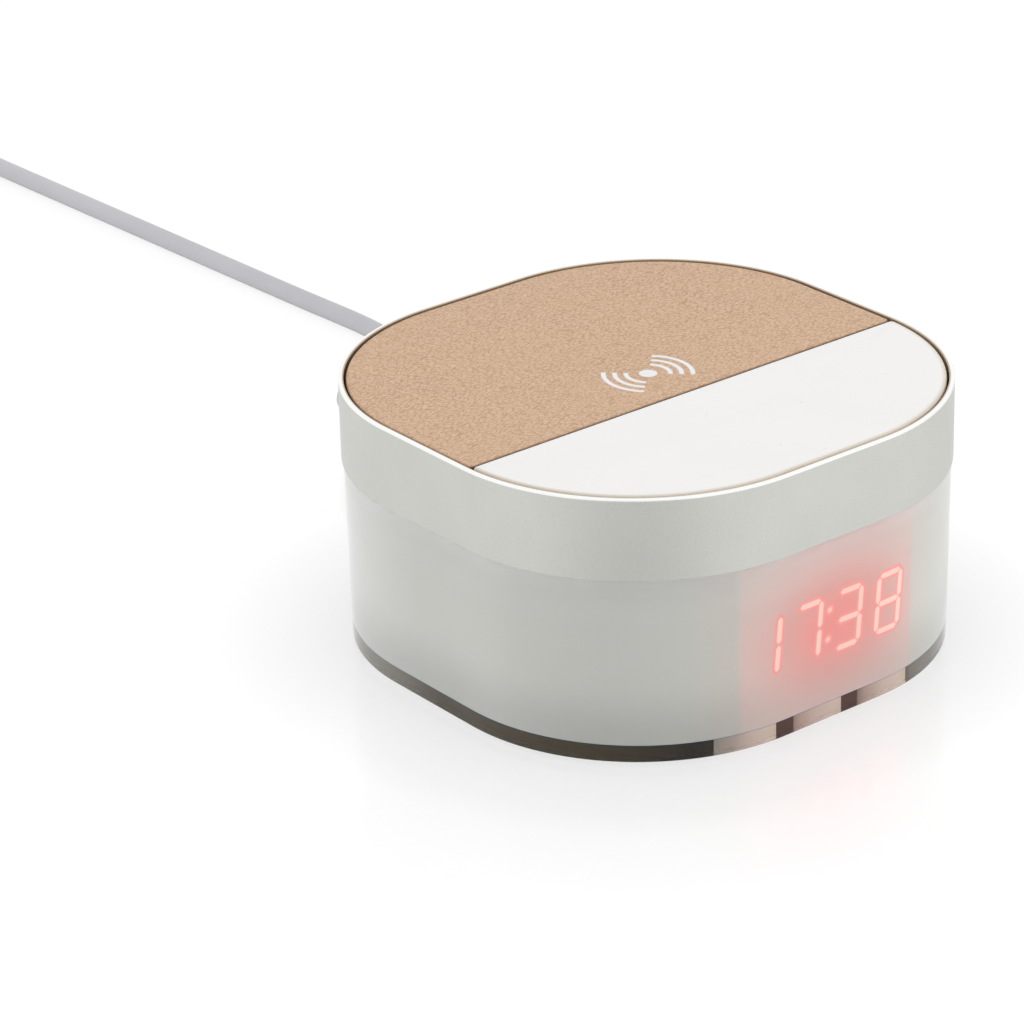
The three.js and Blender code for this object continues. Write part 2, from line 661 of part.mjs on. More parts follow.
const displayBack = DISPLAY_FACE_Y + DISPLAY_DEPTH;
const displayBoardBack = displayBack + BOARD_THICKNESS;
const DISPLAY_SCREWS = [
  [-DISPLAY_SCREW_X, displayLow - FIT - SMALL_BOSS_RADIUS],
  [DISPLAY_SCREW_X, displayHigh + FIT + SMALL_BOSS_RADIUS],
];
const displayBoardLow = DISPLAY_SCREWS[0][1] - DISPLAY_SCREW_INSET;
const displayBoardHigh = DISPLAY_SCREWS[1][1] + DISPLAY_SCREW_INSET;

function displayFrame() {
  const front = keep(
    plate(outline(TRAY_WALL_INSET), SLEEVE_BOTTOM, displayBoardHigh + FRAME_MARGIN),
    block(-FRAME_HALF_WIDTH, FRAME_HALF_WIDTH, -WIDTH, FRAME_BACK_Y, 0, HEIGHT),
  );
  const bosses = DISPLAY_SCREWS.map(([x, z]) =>
    rod(x, z, FRAME_BACK_Y - FIT, displayBack, SMALL_BOSS_RADIUS),
  );
  const boreStart = displayBoardBack - SMALL_SCREW_LENGTH - FIT;
  const bores = DISPLAY_SCREWS.map(([x, z]) =>
    rod(x, z, boreStart, displayBack + CUT_PAST, SMALL_SHANK_RADIUS + SHANK_FIT),
  );
  const tabs = [-1, 1].map((side) => {
    const outer = side * FRAME_HALF_WIDTH;
    const inner = side * (FRAME_HALF_WIDTH - FRAME_TAB);
    return block(
      Math.min(outer, inner),
      Math.max(outer, inner),
      FRAME_BACK_Y - FIT,
      FRAME_BACK_Y + FRAME_TAB,
      FLOOR_TOP,
      FLOOR_TOP + FRAME_TAB_THICKNESS,
    );
  });
  const window = block(
    -DISPLAY_HALF_WIDTH - WINDOW_FIT,
    DISPLAY_HALF_WIDTH + WINDOW_FIT,
    -WIDTH,
    FRAME_BACK_Y + CUT_PAST,
    displayLow - WINDOW_FIT,
    displayHigh + WINDOW_FIT,
  );
  const slots = [-1, 1].map((side) => {
    const middle = side * FRAME_SLOT_X;
    return block(middle - FRAME_SLOT_WIDTH / 2, middle + FRAME_SLOT_WIDTH / 2, -WIDTH, 0, 0, FRAME_SLOT_TOP);
  });
  return cut(join(front, ...bosses, ...tabs), window, ...slots, ...bores);
}

// Ends of the seven segments of a digit, as shares of its width and height from its centre
const SEGMENTS = {
  a: [[-0.5, 0.5], [0.5, 0.5]],
  b: [[0.5, 0.5], [0.5, 0]],
  c: [[0.5, 0], [0.5, -0.5]],
  d: [[-0.5, -0.5], [0.5, -0.5]],
  e: [[-0.5, 0], [-0.5, -0.5]],
  f: [[-0.5, 0.5], [-0.5, 0]],
  g: [[-0.5, 0], [0.5, 0]],
};

// A point of the slanted display face, from its offset from the display's centre
const slanted = (across, up) => new THREE.Vector2(across + up * DIGIT_SLANT, up);

// Every light segment and colon dot, grown by an allowance, as upright prisms between two Y planes
function lightPrisms(growth, yLow, yHigh) {
  const half = SEGMENT_STROKE / 2 + growth;
  const shapes = [];
  for (let digit = 0; digit < 4; digit++) {
    const middle = (digit - 1.5) * DIGIT_PITCH;
    for (const ends of Object.values(SEGMENTS)) {
      const [start, end] = ends.map(([u, v]) => slanted(middle + u * DIGIT_WIDTH, v * DIGIT_HEIGHT));
      const along = end.clone().sub(start).normalize();
      const side = new THREE.Vector2(-along.y, along.x);
      const tip = SEGMENT_END_GAP - growth;
      const near = (from, run, offset) =>
        from.clone().addScaledVector(along, run).addScaledVector(side, offset);
      shapes.push(
        new THREE.Shape([
          near(start, tip, 0),
          near(start, tip + half, -half),
          near(end, -tip - half, -half),
          near(end, -tip, 0),
          near(end, -tip - half, half),
          near(start, tip + half, half),
        ]),
      );
    }
  }
  for (const up of [-COLON_SPACING / 2, COLON_SPACING / 2]) {
    const dot = slanted(0, up);
    shapes.push(new THREE.Shape().absarc(dot.x, dot.y, COLON_RADIUS + growth, 0, 2 * Math.PI));
  }
  return shapes.map((shape) =>
    new THREE.ExtrudeGeometry(shape, { depth: yHigh - yLow, bevelEnabled: false, curveSegments: 4 })
      .rotateX(Math.PI / 2)
      .translate(0, yHigh, DISPLAY_CENTRE_Z),
  );
}

function displayHousing() {
  const w = DISPLAY_HALF_WIDTH;
  const body = block(-w, w, DISPLAY_FACE_Y, displayBack, displayLow, displayHigh);
  const cavity = block(
    DISPLAY_WALL - w,
    w - DISPLAY_WALL,
    DISPLAY_FACE_Y + DISPLAY_WALL,
    displayBack + CUT_PAST,
    displayLow + DISPLAY_WALL,
    displayHigh - DISPLAY_WALL,
  );
  const slots = lightPrisms(SEGMENT_FIT, DISPLAY_FACE_Y - CUT_PAST, DISPLAY_FACE_Y + DISPLAY_WALL + CUT_PAST);
  return cut(body, cavity, ...slots);
}

function segmentLens() {
  const margin = DISPLAY_WALL + FIT;
  const frontY = DISPLAY_FACE_Y + DISPLAY_WALL + FIT;
  const sheet = block(
    margin - DISPLAY_HALF_WIDTH,
    DISPLAY_HALF_WIDTH - margin,
    frontY,
    frontY + LENS_THICKNESS,
    displayLow + margin,
    displayHigh - margin,
  );
  return join(sheet, ...lightPrisms(0, DISPLAY_FACE_Y + LENS_SETBACK, frontY + LENS_THICKNESS / 2));
}

function displayBoard() {
  const w = DISPLAY_HALF_WIDTH;
  const board = block(-w, w, displayBack, displayBoardBack, displayBoardLow, displayBoardHigh);
  const holes = DISPLAY_SCREWS.map(([x, z]) =>
    rod(x, z, displayBack - CUT_PAST, displayBoardBack + CUT_PAST, SMALL_SHANK_RADIUS + SHANK_FIT),
  );
  return cut(board, ...holes);
}

// Electronics on the tray

function mainBoard() {
  const shape = new THREE.Shape([
    new THREE.Vector2(-BOARD_HALF_WIDTH, BOARD_FRONT_Y),
    new THREE.Vector2(BOARD_HALF_WIDTH, BOARD_FRONT_Y),
    new THREE.Vector2(BOARD_HALF_WIDTH, BOARD_BACK_Y),
    new THREE.Vector2(BOARD_TAB_HALF_WIDTH, BOARD_BACK_Y),
    new THREE.Vector2(BOARD_TAB_HALF_WIDTH, BOARD_TAB_Y),
    new THREE.Vector2(-BOARD_TAB_HALF_WIDTH, BOARD_TAB_Y),
    new THREE.Vector2(-BOARD_TAB_HALF_WIDTH, BOARD_BACK_Y),
    new THREE.Vector2(-BOARD_HALF_WIDTH, BOARD_BACK_Y),
  ]);
  const holes = SCREWED_STANDOFFS.map(([x, y]) =>
    pillar(x, y, BOARD_UNDERSIDE - CUT_PAST, BOARD_TOP + CUT_PAST, SMALL_SHANK_RADIUS + SHANK_FIT),
  );
  return cut(plate(shape, BOARD_UNDERSIDE, BOARD_TOP), ...holes);
}

const DISPLAY_CONNECTOR_Z = PORT_Z;
const BOARD_CONNECTOR_Y = BOARD_FRONT_Y + CONNECTOR_INSET;

function displayRibbon() {
  const start = new THREE.Vector2(displayBoardBack + CONNECTOR_HEIGHT + FIT, DISPLAY_CONNECTOR_Z);
  const end = new THREE.Vector2(BOARD_CONNECTOR_Y - FIT, BOARD_TOP + CONNECTOR_HEIGHT / 2);
  const curve = new THREE.CubicBezierCurve(
    start,
    new THREE.Vector2(start.x + (end.x - start.x) * 0.4, start.y + RIBBON_RISE),
    new THREE.Vector2(start.x + (end.x - start.x) * 0.6, end.y + RIBBON_RISE),
    end,
  );
  const steps = 10;
  const offset = (t, side) => {
    const along = curve.getTangent(t);
    const across = new THREE.Vector2(-along.y, along.x);
    return curve.getPoint(t).addScaledVector(across, (side * RIBBON_THICKNESS) / 2);
  };
  const lower = Array.from({ length: steps + 1 }, (_, i) => offset(i / steps, -1));
  const upper = Array.from({ length: steps + 1 }, (_, i) => offset(1 - i / steps, 1));
  const geometry = new THREE.ExtrudeGeometry(new THREE.Shape([...lower, ...upper]), {
    depth: 2 * RIBBON_HALF_WIDTH,
    bevelEnabled: false,
  });
  return geometry.applyMatrix4(STANDING).translate(-RIBBON_HALF_WIDTH, 0, 0);
}

function inletSocket() {
  const back = BOARD_TAB_Y - SOCKET_DEPTH + SOCKET_OVERHANG;
  const shell = barAlongY(SOCKET_WIDTH, SOCKET_HEIGHT, SOCKET_CORNER, back, back + SOCKET_DEPTH, PORT_Z);
  const mouth = barAlongY(
    SOCKET_WIDTH - 2 * SOCKET_WALL,
    SOCKET_HEIGHT - 2 * SOCKET_WALL,
    SOCKET_CORNER - SOCKET_WALL,
    back + SOCKET_WALL,
    back + SOCKET_DEPTH + CUT_PAST,
    PORT_Z,
  );
  return cut(shell, mouth);
}

function chip(x, y, width, depth, height) {
  return block(x - width / 2, x + width / 2, y - depth / 2, y + depth / 2, BOARD_TOP, BOARD_TOP + height);
}

const inductor = () =>
  plate(
    roundedRectangle(INDUCTOR_SIZE, INDUCTOR_SIZE, INDUCTOR_CORNER),
    BOARD_TOP,
    BOARD_TOP + INDUCTOR_HEIGHT,
  ).translate(0, INDUCTOR_Y, 0);

// Buttons under the tray, each below a switch that hangs from the main board
const SWITCH_BOTTOM = BOARD_UNDERSIDE - SWITCH_HEIGHT;
const PLUNGER_BOTTOM = SWITCH_BOTTOM - PLUNGER_REACH;

function button(index) {
  const low = SLEEVE_BOTTOM + BUTTON_RECESS;
  const flangeLow = FLOOR_TOP + FIT;
  const profile = [
    [0, low + BUTTON_DISH],
    [BUTTON_RADIUS - BUTTON_LIP, low],
    [BUTTON_RADIUS, low + BUTTON_CHAMFER],
    [BUTTON_RADIUS, flangeLow],
    [BUTTON_FLANGE_RADIUS, flangeLow],
    [BUTTON_FLANGE_RADIUS, flangeLow + BUTTON_FLANGE_THICKNESS],
    [BUTTON_STEM_RADIUS, flangeLow + BUTTON_FLANGE_THICKNESS],
    [BUTTON_STEM_RADIUS, PLUNGER_BOTTOM],
    [0, PLUNGER_BOTTOM],
  ];
  return revolve(profile, ROUND_SIDES).translate(buttonX(index), BUTTON_Y, 0);
}

function switchHousing(index) {
  const x = buttonX(index);
  const half = SWITCH_SIZE / 2;
  const body = block(x - half, x + half, BUTTON_Y - half, BUTTON_Y + half, SWITCH_BOTTOM, BOARD_UNDERSIDE);
  const depth = PLUNGER_DEPTH + BUTTON_TRAVEL + FIT;
  const boreRadius = PLUNGER_RADIUS + SHANK_FIT;
  const bore = pillar(x, BUTTON_Y, SWITCH_BOTTOM - CUT_PAST, SWITCH_BOTTOM + depth, boreRadius);
  return cut(body, bore);
}

const switchPlunger = (index) =>
  pillar(buttonX(index), BUTTON_Y, PLUNGER_BOTTOM, SWITCH_BOTTOM + PLUNGER_DEPTH, PLUNGER_RADIUS);

// Charging coil, its shield and its leads
const COIL_Z = SHELF_TOP - COIL_WIRE / 2 - COIL_GLUE;
const SHIELD_TOP = COIL_Z - COIL_WIRE / 2 - SHIELD_GLUE;
const LEAD_HOLE_X = COIL_INNER_RADIUS - LEAD_HOLE_INSET;

function spiralPoints() {
  const steps = LOOP_STEPS * COIL_TURNS;
  const points = [];
  for (let i = 0; i <= steps; i++) {
    const turn = i / LOOP_STEPS;
    const radius = COIL_INNER_RADIUS + COIL_PITCH * turn;
    const angle = 2 * Math.PI * turn;
    points.push(new THREE.Vector3(radius * Math.cos(angle), radius * Math.sin(angle), COIL_Z));
  }
  return withStraightEnds(points, COIL_WIRE, COIL_TURNS);
}

// Each end runs straight on for one diameter, along the tangent of its loop. The first starts towards +Y.
function withStraightEnds(points, diameter, turns) {
  const endAngle = 2 * Math.PI * turns;
  const before = points[0].clone().add(new THREE.Vector3(0, -diameter, 0));
  const onwards = new THREE.Vector3(-Math.sin(endAngle), Math.cos(endAngle), 0);
  const after = points[points.length - 1].clone().addScaledVector(onwards, diameter);
  return [before, ...points, after];
}

// The least distance between centre lines more than half a loop apart, less the diameter
function selfGap(points, diameter) {
  const halfLoop = LOOP_STEPS / 2;
  let least = Infinity;
  points.forEach((point, i) => {
    for (let j = i + halfLoop; j < points.length; j++) {
      least = Math.min(least, point.distanceTo(points[j]));
    }
  });
  return least - diameter;
}

const chargingSpiral = spiralPoints();
const spiralStart = chargingSpiral[0];
const spiralEnd = chargingSpiral[chargingSpiral.length - 1];
console.log("charging coil least gap to itself, mm:", selfGap(chargingSpiral, COIL_WIRE).toFixed(2));

function shield() {
  const half = SHIELD_SIZE / 2;
  const sheet = block(-half, half, -half, half, SHIELD_TOP - SHIELD_THICKNESS, SHIELD_TOP);
  const hole = pillar(
    LEAD_HOLE_X,
    LEAD_HOLE_Y,
    0,
    HEIGHT,
    LEAD_HOLE_RADIUS,
    LEAD_HOLE_RADIUS,
    SMALL_SIDES,
  );
  return cut(sheet, hole);
}

function lead(points) {
  const curve = new THREE.CatmullRomCurve3(points, false, "centripetal");
  const circle = new THREE.Shape().absarc(0, 0, COIL_WIRE / 2, 0, 2 * Math.PI);
  return new THREE.ExtrudeGeometry(circle, { steps: 26, extrudePath: curve, curveSegments: 3 });
}

// A height between the shield's top, at share 0, and the main board, at share 1
const leadLevel = (share) => SHIELD_TOP + share * (BOARD_TOP + FIT - SHIELD_TOP);

function innerLead() {
  const far = LEAD_HOLE_X + LEAD_SWING;
  return lead([
    new THREE.Vector3(spiralStart.x, spiralStart.y - FIT, COIL_Z),
    new THREE.Vector3((spiralStart.x + LEAD_HOLE_X) / 2, LEAD_HOLE_Y + LEAD_HOLE_INSET, COIL_Z - COIL_GLUE),
    new THREE.Vector3(LEAD_HOLE_X, LEAD_HOLE_Y, SHIELD_TOP - SHIELD_THICKNESS / 2),
    new THREE.Vector3(LEAD_HOLE_X, LEAD_HOLE_Y, leadLevel(0.13)),
    new THREE.Vector3(far, LEAD_HOLE_Y, leadLevel(0.47)),
    new THREE.Vector3(far, LEAD_HOLE_Y, leadLevel(1)),
  ]);
}

function outerLead() {
  const side = SHIELD_SIZE / 2 + LEAD_CLEARANCE;
  const pad = BOARD_HALF_WIDTH - LEAD_PAD_INSET;
  const { x, y } = spiralEnd;
  return lead([
    new THREE.Vector3(x, y + FIT, COIL_Z),
    new THREE.Vector3((x + side) / 2, y + LEAD_BEND * 0.64, COIL_Z - SHIELD_GLUE),
    new THREE.Vector3(side, y + LEAD_BEND, COIL_Z - LEAD_BEND * 0.4),
    new THREE.Vector3(side, y + LEAD_BEND, leadLevel(0.27)),
    new THREE.Vector3(pad, y + LEAD_BEND * 0.8, leadLevel(0.74)),
    new THREE.Vector3(pad, y + LEAD_BEND * 0.8, leadLevel(1)),
  ]);
}

// Cable with a plug in the port, its free stretch, its coil with a tie and the supply plug
const PLUG_END_Y = PLUG_START_Y + PLUG_LENGTH;
const CORD_START_Y = PLUG_END_Y + RELIEF_LENGTH + FIT;

function relief(length) {
  const profile = [[0, 0]];
  const pitch = length / (RELIEF_GROOVES + 1);
  for (let i = 0; i <= RELIEF_GROOVES; i++) {
    const radius = RELIEF_RADIUS + ((RELIEF_TIP_RADIUS - RELIEF_RADIUS) * i) / RELIEF_GROOVES;
    const start = pitch * i;
    const groove = i < RELIEF_GROOVES ? RELIEF_GROOVE_DEPTH : 0;
    profile.push([radius, start], [radius, start + pitch * 0.7]);
    profile.push([radius - groove, start + pitch * 0.7], [radius - groove, start + pitch]);
  }
  profile.push([0, length]);
  return revolve(profile, SMALL_SIDES);
}

function inletPlugShell() {
  const width = SOCKET_WIDTH - 2 * SOCKET_WALL - 2 * PLUG_SHELL_FIT;
  const height = SOCKET_HEIGHT - 2 * SOCKET_WALL - 2 * PLUG_SHELL_FIT;
  const front = PLUG_START_Y - FIT - PLUG_SHELL_LENGTH;
  const shell = barAlongY(width, height, PLUG_SHELL_CORNER, front, PLUG_START_Y - PLUG_SHELL_SEAT, PORT_Z);
  const mouth = barAlongY(
    width - 2 * PLUG_SHELL_WALL,
    height - 2 * PLUG_SHELL_WALL,
    PLUG_SHELL_CORNER / 2,
    front - CUT_PAST,
    PLUG_START_Y - PLUG_SHELL_FLOOR,
    PORT_Z,
  );
  return cut(shell, mouth);
}

function cordPath() {
  const z = PORT_Z;
  const rest = CORD_RADIUS + 0.05;
  return new THREE.CatmullRomCurve3(
    [
      [0, CORD_START_Y, z],
      [1.4, 81.3, z - 0.6],
      [5.6, 89.7, z - 2.2],
      [12, 96.5, z - 4.4],
      [20.3, 101, z - 6.5],
      [28.4, 105.5, z - 8.3],
      [34.9, 112.3, rest + 0.6],
      [38.9, 120.2, rest + 0.15],
      [40.1, 129, rest],
      [39.3, 151, rest],
      [38.6, 170, rest],
      [37.9, 190, rest],
      [37.2, 210, rest],
      [36.4, 232, rest],
      [35.7, 253, rest],
      [34.8, 275, rest + 0.3],
      [CORD_COIL_X + cordOuterRadius, CORD_COIL_Y - CORD_DIAMETER - FIT, cordLayerZ(0)],
    ].map(([x, y, height]) => new THREE.Vector3(x, y, height)),
    false,
    "centripetal",
  );
}

const cordLoopsPerLayer = CORD_LOOPS / CORD_LAYERS;
const cordOuterRadius = CORD_MEAN_RADIUS + (cordLoopsPerLayer * CORD_LAYER_PITCH) / 2;
const cordLayerZ = (layer) => TIE_THICKNESS + FIT + CORD_RADIUS + layer * CORD_LAYER_PITCH;

// Loops spiral in and out, and climb a layer in the half turn where the spiral reverses.
function cordCoilPoints() {
  const steps = Math.round(LOOP_STEPS * CORD_LOOPS);
  const points = [];
  for (let i = 0; i <= steps; i++) {
    const turn = i / LOOP_STEPS;
    const layer = Math.min(Math.floor(turn / cordLoopsPerLayer), CORD_LAYERS - 1);
    const inLayer = turn - layer * cordLoopsPerLayer;
    const inwards = layer % 2 === 0 ? inLayer : cordLoopsPerLayer - inLayer;
    const radius = cordOuterRadius - CORD_LAYER_PITCH * inwards;
    const reversal = Math.round(turn / cordLoopsPerLayer);
    const past = (turn - reversal * cordLoopsPerLayer) * 4; // -1 to 1 across the half turn of a climb
    const climbs = reversal > 0 && reversal < CORD_LAYERS && Math.abs(past) < 1;
    const level = climbs ? reversal - 0.5 + past / 2 : layer;
    const angle = 2 * Math.PI * turn;
    points.push(
      new THREE.Vector3(
        CORD_COIL_X + radius * Math.cos(angle),
        CORD_COIL_Y + radius * Math.sin(angle),
        cordLayerZ(level),
      ),
    );
  }
  return withStraightEnds(points, CORD_DIAMETER, CORD_LOOPS);
}

const cordCoil = cordCoilPoints();
const cordCoilEnd = cordCoil[cordCoil.length - 1];
console.log("cable coil least gap to itself, mm:", selfGap(cordCoil, CORD_DIAMETER).toFixed(2));

const SUPPLY_Z = SUPPLY_BODY_HEIGHT / 2;
const supplyReliefStart = cordCoilEnd.y - TAIL_LENGTH - FIT;

function tailPath() {
  const { x, y, z } = cordCoilEnd;
  const drop = z - SUPPLY_Z;
  return new THREE.CatmullRomCurve3(
    [
      new THREE.Vector3(x, y - FIT, z),
      new THREE.Vector3(x, y - TAIL_LENGTH * 0.25, z - drop * 0.12),
      new THREE.Vector3(x, y - TAIL_LENGTH * 0.5, z - drop * 0.5),
      new THREE.Vector3(x, y - TAIL_LENGTH * 0.75, z - drop * 0.88),
      new THREE.Vector3(x, y - TAIL_LENGTH, SUPPLY_Z),
    ],
    false,
    "centripetal",
  );
}

function cordTube(curve, steps) {
  const circle = new THREE.Shape().absarc(0, 0, CORD_RADIUS, 0, 2 * Math.PI);
  return new THREE.ExtrudeGeometry(circle, { steps, extrudePath: curve, curveSegments: 4 });
}

const cordRun = cordPath();
const cordTail = tailPath();
const lengthThrough = (points) =>
  points.slice(1).reduce((sum, point, i) => sum + point.distanceTo(points[i]), 0);
const coiledLength = lengthThrough(cordCoil);
const cordLength = cordRun.getLength() + coiledLength + cordTail.getLength();
console.log("cord length, mm:", cordLength.toFixed(0), "of which coiled:", coiledLength.toFixed(0));

// The tie is a band round the coil's bundle, on the coil's +Y side.
function coilTie() {
  const innerRadius = CORD_MEAN_RADIUS - (cordLoopsPerLayer * CORD_LAYER_PITCH) / 2 - CORD_RADIUS - TIE_SLACK;
  const outerRadius = cordOuterRadius + CORD_RADIUS + TIE_SLACK;
  const low = TIE_THICKNESS;
  const high = cordLayerZ(CORD_LAYERS - 1) + CORD_RADIUS + FIT;
  const middle = CORD_COIL_Y + (innerRadius + outerRadius) / 2;
  const band = (grow, width) =>
    new THREE.ExtrudeGeometry(
      roundedRectangle(outerRadius - innerRadius + 2 * grow, high - low + 2 * grow, TIE_CORNER + grow),
      { depth: width, bevelEnabled: false, curveSegments: 3 },
    )
      .applyMatrix4(STANDING)
      .translate(CORD_COIL_X - width / 2, middle, (low + high) / 2);
  return cut(band(TIE_THICKNESS, TIE_WIDTH), band(0, TIE_WIDTH + 2 * CUT_PAST));
}

// The supply plug lies on the table beside the coil and points to -Y.
function supplyPart(geometry, distance) {
  return geometry.translate(cordCoilEnd.x, supplyReliefStart - distance, SUPPLY_Z);
}

const supplyBody = () =>
  supplyPart(
    barAlongY(SUPPLY_BODY_WIDTH, SUPPLY_BODY_HEIGHT, PLUG_CORNER, -SUPPLY_BODY_LENGTH, 0, 0, SUPPLY_BEVEL),
    RELIEF_LENGTH,
  );

function supplyShell() {
  const length = SUPPLY_SHELL_LENGTH;
  const innerWidth = SUPPLY_SHELL_WIDTH - 2 * SUPPLY_SHELL_WALL;
  const innerHeight = SUPPLY_SHELL_HEIGHT - 2 * SUPPLY_SHELL_WALL;
  const shell = barAlongY(SUPPLY_SHELL_WIDTH, SUPPLY_SHELL_HEIGHT, SUPPLY_SHELL_CORNER, -length, 0, 0);
  const mouth = barAlongY(
    innerWidth,
    innerHeight,
    SUPPLY_SHELL_CORNER / 2,
    -length - CUT_PAST,
    -SUPPLY_SHELL_FLOOR,
    0,
  );
  const tongue = block(
    -SUPPLY_TONGUE_WIDTH / 2,
    SUPPLY_TONGUE_WIDTH / 2,
    SUPPLY_TONGUE_RECESS - length,
    -SUPPLY_SHELL_FLOOR + SUPPLY_SHELL_WALL,
    -innerHeight / 2 - SUPPLY_SHELL_WALL / 2,
    -innerHeight / 2 - SUPPLY_SHELL_WALL / 2 + SUPPLY_TONGUE_THICKNESS,
  );
  return supplyPart(join(cut(shell, mouth), tongue), RELIEF_LENGTH + SUPPLY_BODY_LENGTH);
}

// Assembly

add("top_ring", topRing(), SILVER);
add("top_carrier", topCarrier(), BLACK);
add("leather_pad", leatherPad(), LEATHER);
add("front_plate", frontPlate(), WHITE);
add("clear_sleeve", clearSleeve(), CLEAR);
add("diffuser_liner", diffuserLiner(), FROSTED);
add("base_tray", baseTray(), BLACK);

CORNERS.forEach(([sx, sy], i) => {
  const footMesh = add(`foot_${i + 1}`, foot(), RUBBER);
  footMesh.position.set(sx * POST_SPOT, sy * POST_SPOT, 0);
  const screwGeometry = screw(BASE_SHANK_RADIUS, BASE_SHANK_LENGTH, BASE_HEAD_RADIUS, BASE_HEAD_HEIGHT);
  const screwMesh = add(`base_screw_${i + 1}`, screwGeometry, STEEL);
  screwMesh.position.set(sx * POST_SPOT, sy * POST_SPOT, baseHeadTop());
});

add("display_frame", displayFrame(), WHITE);
add("display_housing", displayHousing(), BLACK);
add("segment_lens", segmentLens(), LIGHT);
add("display_board", displayBoard(), BOARD);
DISPLAY_SCREWS.forEach(([x, z], i) => {
  const geometry = screw(SMALL_SHANK_RADIUS, SMALL_SCREW_LENGTH, SMALL_HEAD_RADIUS, SMALL_HEAD_HEIGHT);
  const mesh = add(`display_screw_${i + 1}`, geometry, STEEL);
  mesh.rotation.x = Math.PI / 2;
  mesh.position.set(x, displayBoardBack, z);
});
add(
  "display_connector",
  block(
    -CONNECTOR_HALF_WIDTH,
    CONNECTOR_HALF_WIDTH,
    displayBoardBack,
    displayBoardBack + CONNECTOR_HEIGHT,
    DISPLAY_CONNECTOR_Z - CONNECTOR_DEPTH / 2,
    DISPLAY_CONNECTOR_Z + CONNECTOR_DEPTH / 2,
  ),
  WHITE,
);
add("display_ribbon", displayRibbon(), WHITE);

add("main_board", mainBoard(), BOARD);
SCREWED_STANDOFFS.forEach(([x, y], i) => {
  const geometry = screw(SMALL_SHANK_RADIUS, SMALL_SCREW_LENGTH, SMALL_HEAD_RADIUS, SMALL_HEAD_HEIGHT);
  const mesh = add(`board_screw_${i + 1}`, geometry, STEEL);
  mesh.rotation.x = Math.PI;
  mesh.position.set(x, y, BOARD_TOP);
});
add(
  "board_connector",
  block(
    -CONNECTOR_HALF_WIDTH,
    CONNECTOR_HALF_WIDTH,
    BOARD_CONNECTOR_Y,
    BOARD_CONNECTOR_Y + CONNECTOR_DEPTH,
    BOARD_TOP,
    BOARD_TOP + CONNECTOR_HEIGHT,
  ),
  WHITE,
);
add("inlet_socket", inletSocket(), STEEL);
add(
  "charger_chip",
  chip(0, CHARGER_CHIP_Y, CHARGER_CHIP_SIZE, CHARGER_CHIP_SIZE, CHARGER_CHIP_HEIGHT),
  BLACK,
);
add(
  "clock_chip",
  chip(CLOCK_CHIP_X, CLOCK_CHIP_Y, CLOCK_CHIP_WIDTH, CLOCK_CHIP_DEPTH, CLOCK_CHIP_HEIGHT),
  BLACK,
);
add("power_inductor", inductor(), FERRITE);
add(
  "smoothing_capacitor",
  pillar(CAPACITOR_X, CAPACITOR_Y, BOARD_TOP, BOARD_TOP + CAPACITOR_HEIGHT, CAPACITOR_RADIUS),
  STEEL,
);

["set_button", "up_button", "down_button"].forEach((name, i) => {
  add(name, button(i), BLACK);
  add(`switch_plunger_${i + 1}`, switchPlunger(i), BLACK);
  add(`switch_housing_${i + 1}`, switchHousing(i), STEEL);
});

add("coil_shield", shield(), FERRITE);
add("charging_coil", tubeThrough(chargingSpiral, COIL_WIRE / 2, 6), COPPER);
add("coil_lead_inner", innerLead(), COPPER);
add("coil_lead_outer", outerLead(), COPPER);

add("inlet_plug_shell", inletPlugShell(), STEEL);
add(
  "inlet_plug_body",
  barAlongY(PLUG_WIDTH, PLUG_HEIGHT, PLUG_CORNER, PLUG_START_Y, PLUG_END_Y, PORT_Z, PLUG_BEVEL),
  CORD,
);
const inletRelief = add("inlet_plug_relief", relief(RELIEF_LENGTH), CORD);
inletRelief.rotation.x = -Math.PI / 2;
inletRelief.position.set(0, PLUG_END_Y, PORT_Z);
add("cable_run", cordTube(cordRun, 30), CORD);
add("cable_coil", tubeThrough(cordCoil, CORD_RADIUS, 6), CORD);
add("coil_tie", coilTie(), BLACK);
add("cable_tail", cordTube(cordTail, 6), CORD);
const supplyRelief = add("supply_plug_relief", relief(RELIEF_LENGTH), CORD);
supplyRelief.rotation.x = -Math.PI / 2;
supplyRelief.position.set(cordCoilEnd.x, supplyReliefStart - RELIEF_LENGTH, SUPPLY_Z);
add("supply_plug_body", supplyBody(), CORD);
add("supply_plug_shell", supplyShell(), STEEL);

export default clock;
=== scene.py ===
"""Looks of a wireless charging clock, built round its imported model. Lengths are in millimetres."""

import json
import math
from functools import partialmethod

import bmesh
import bpy
from mathutils import Matrix, Vector

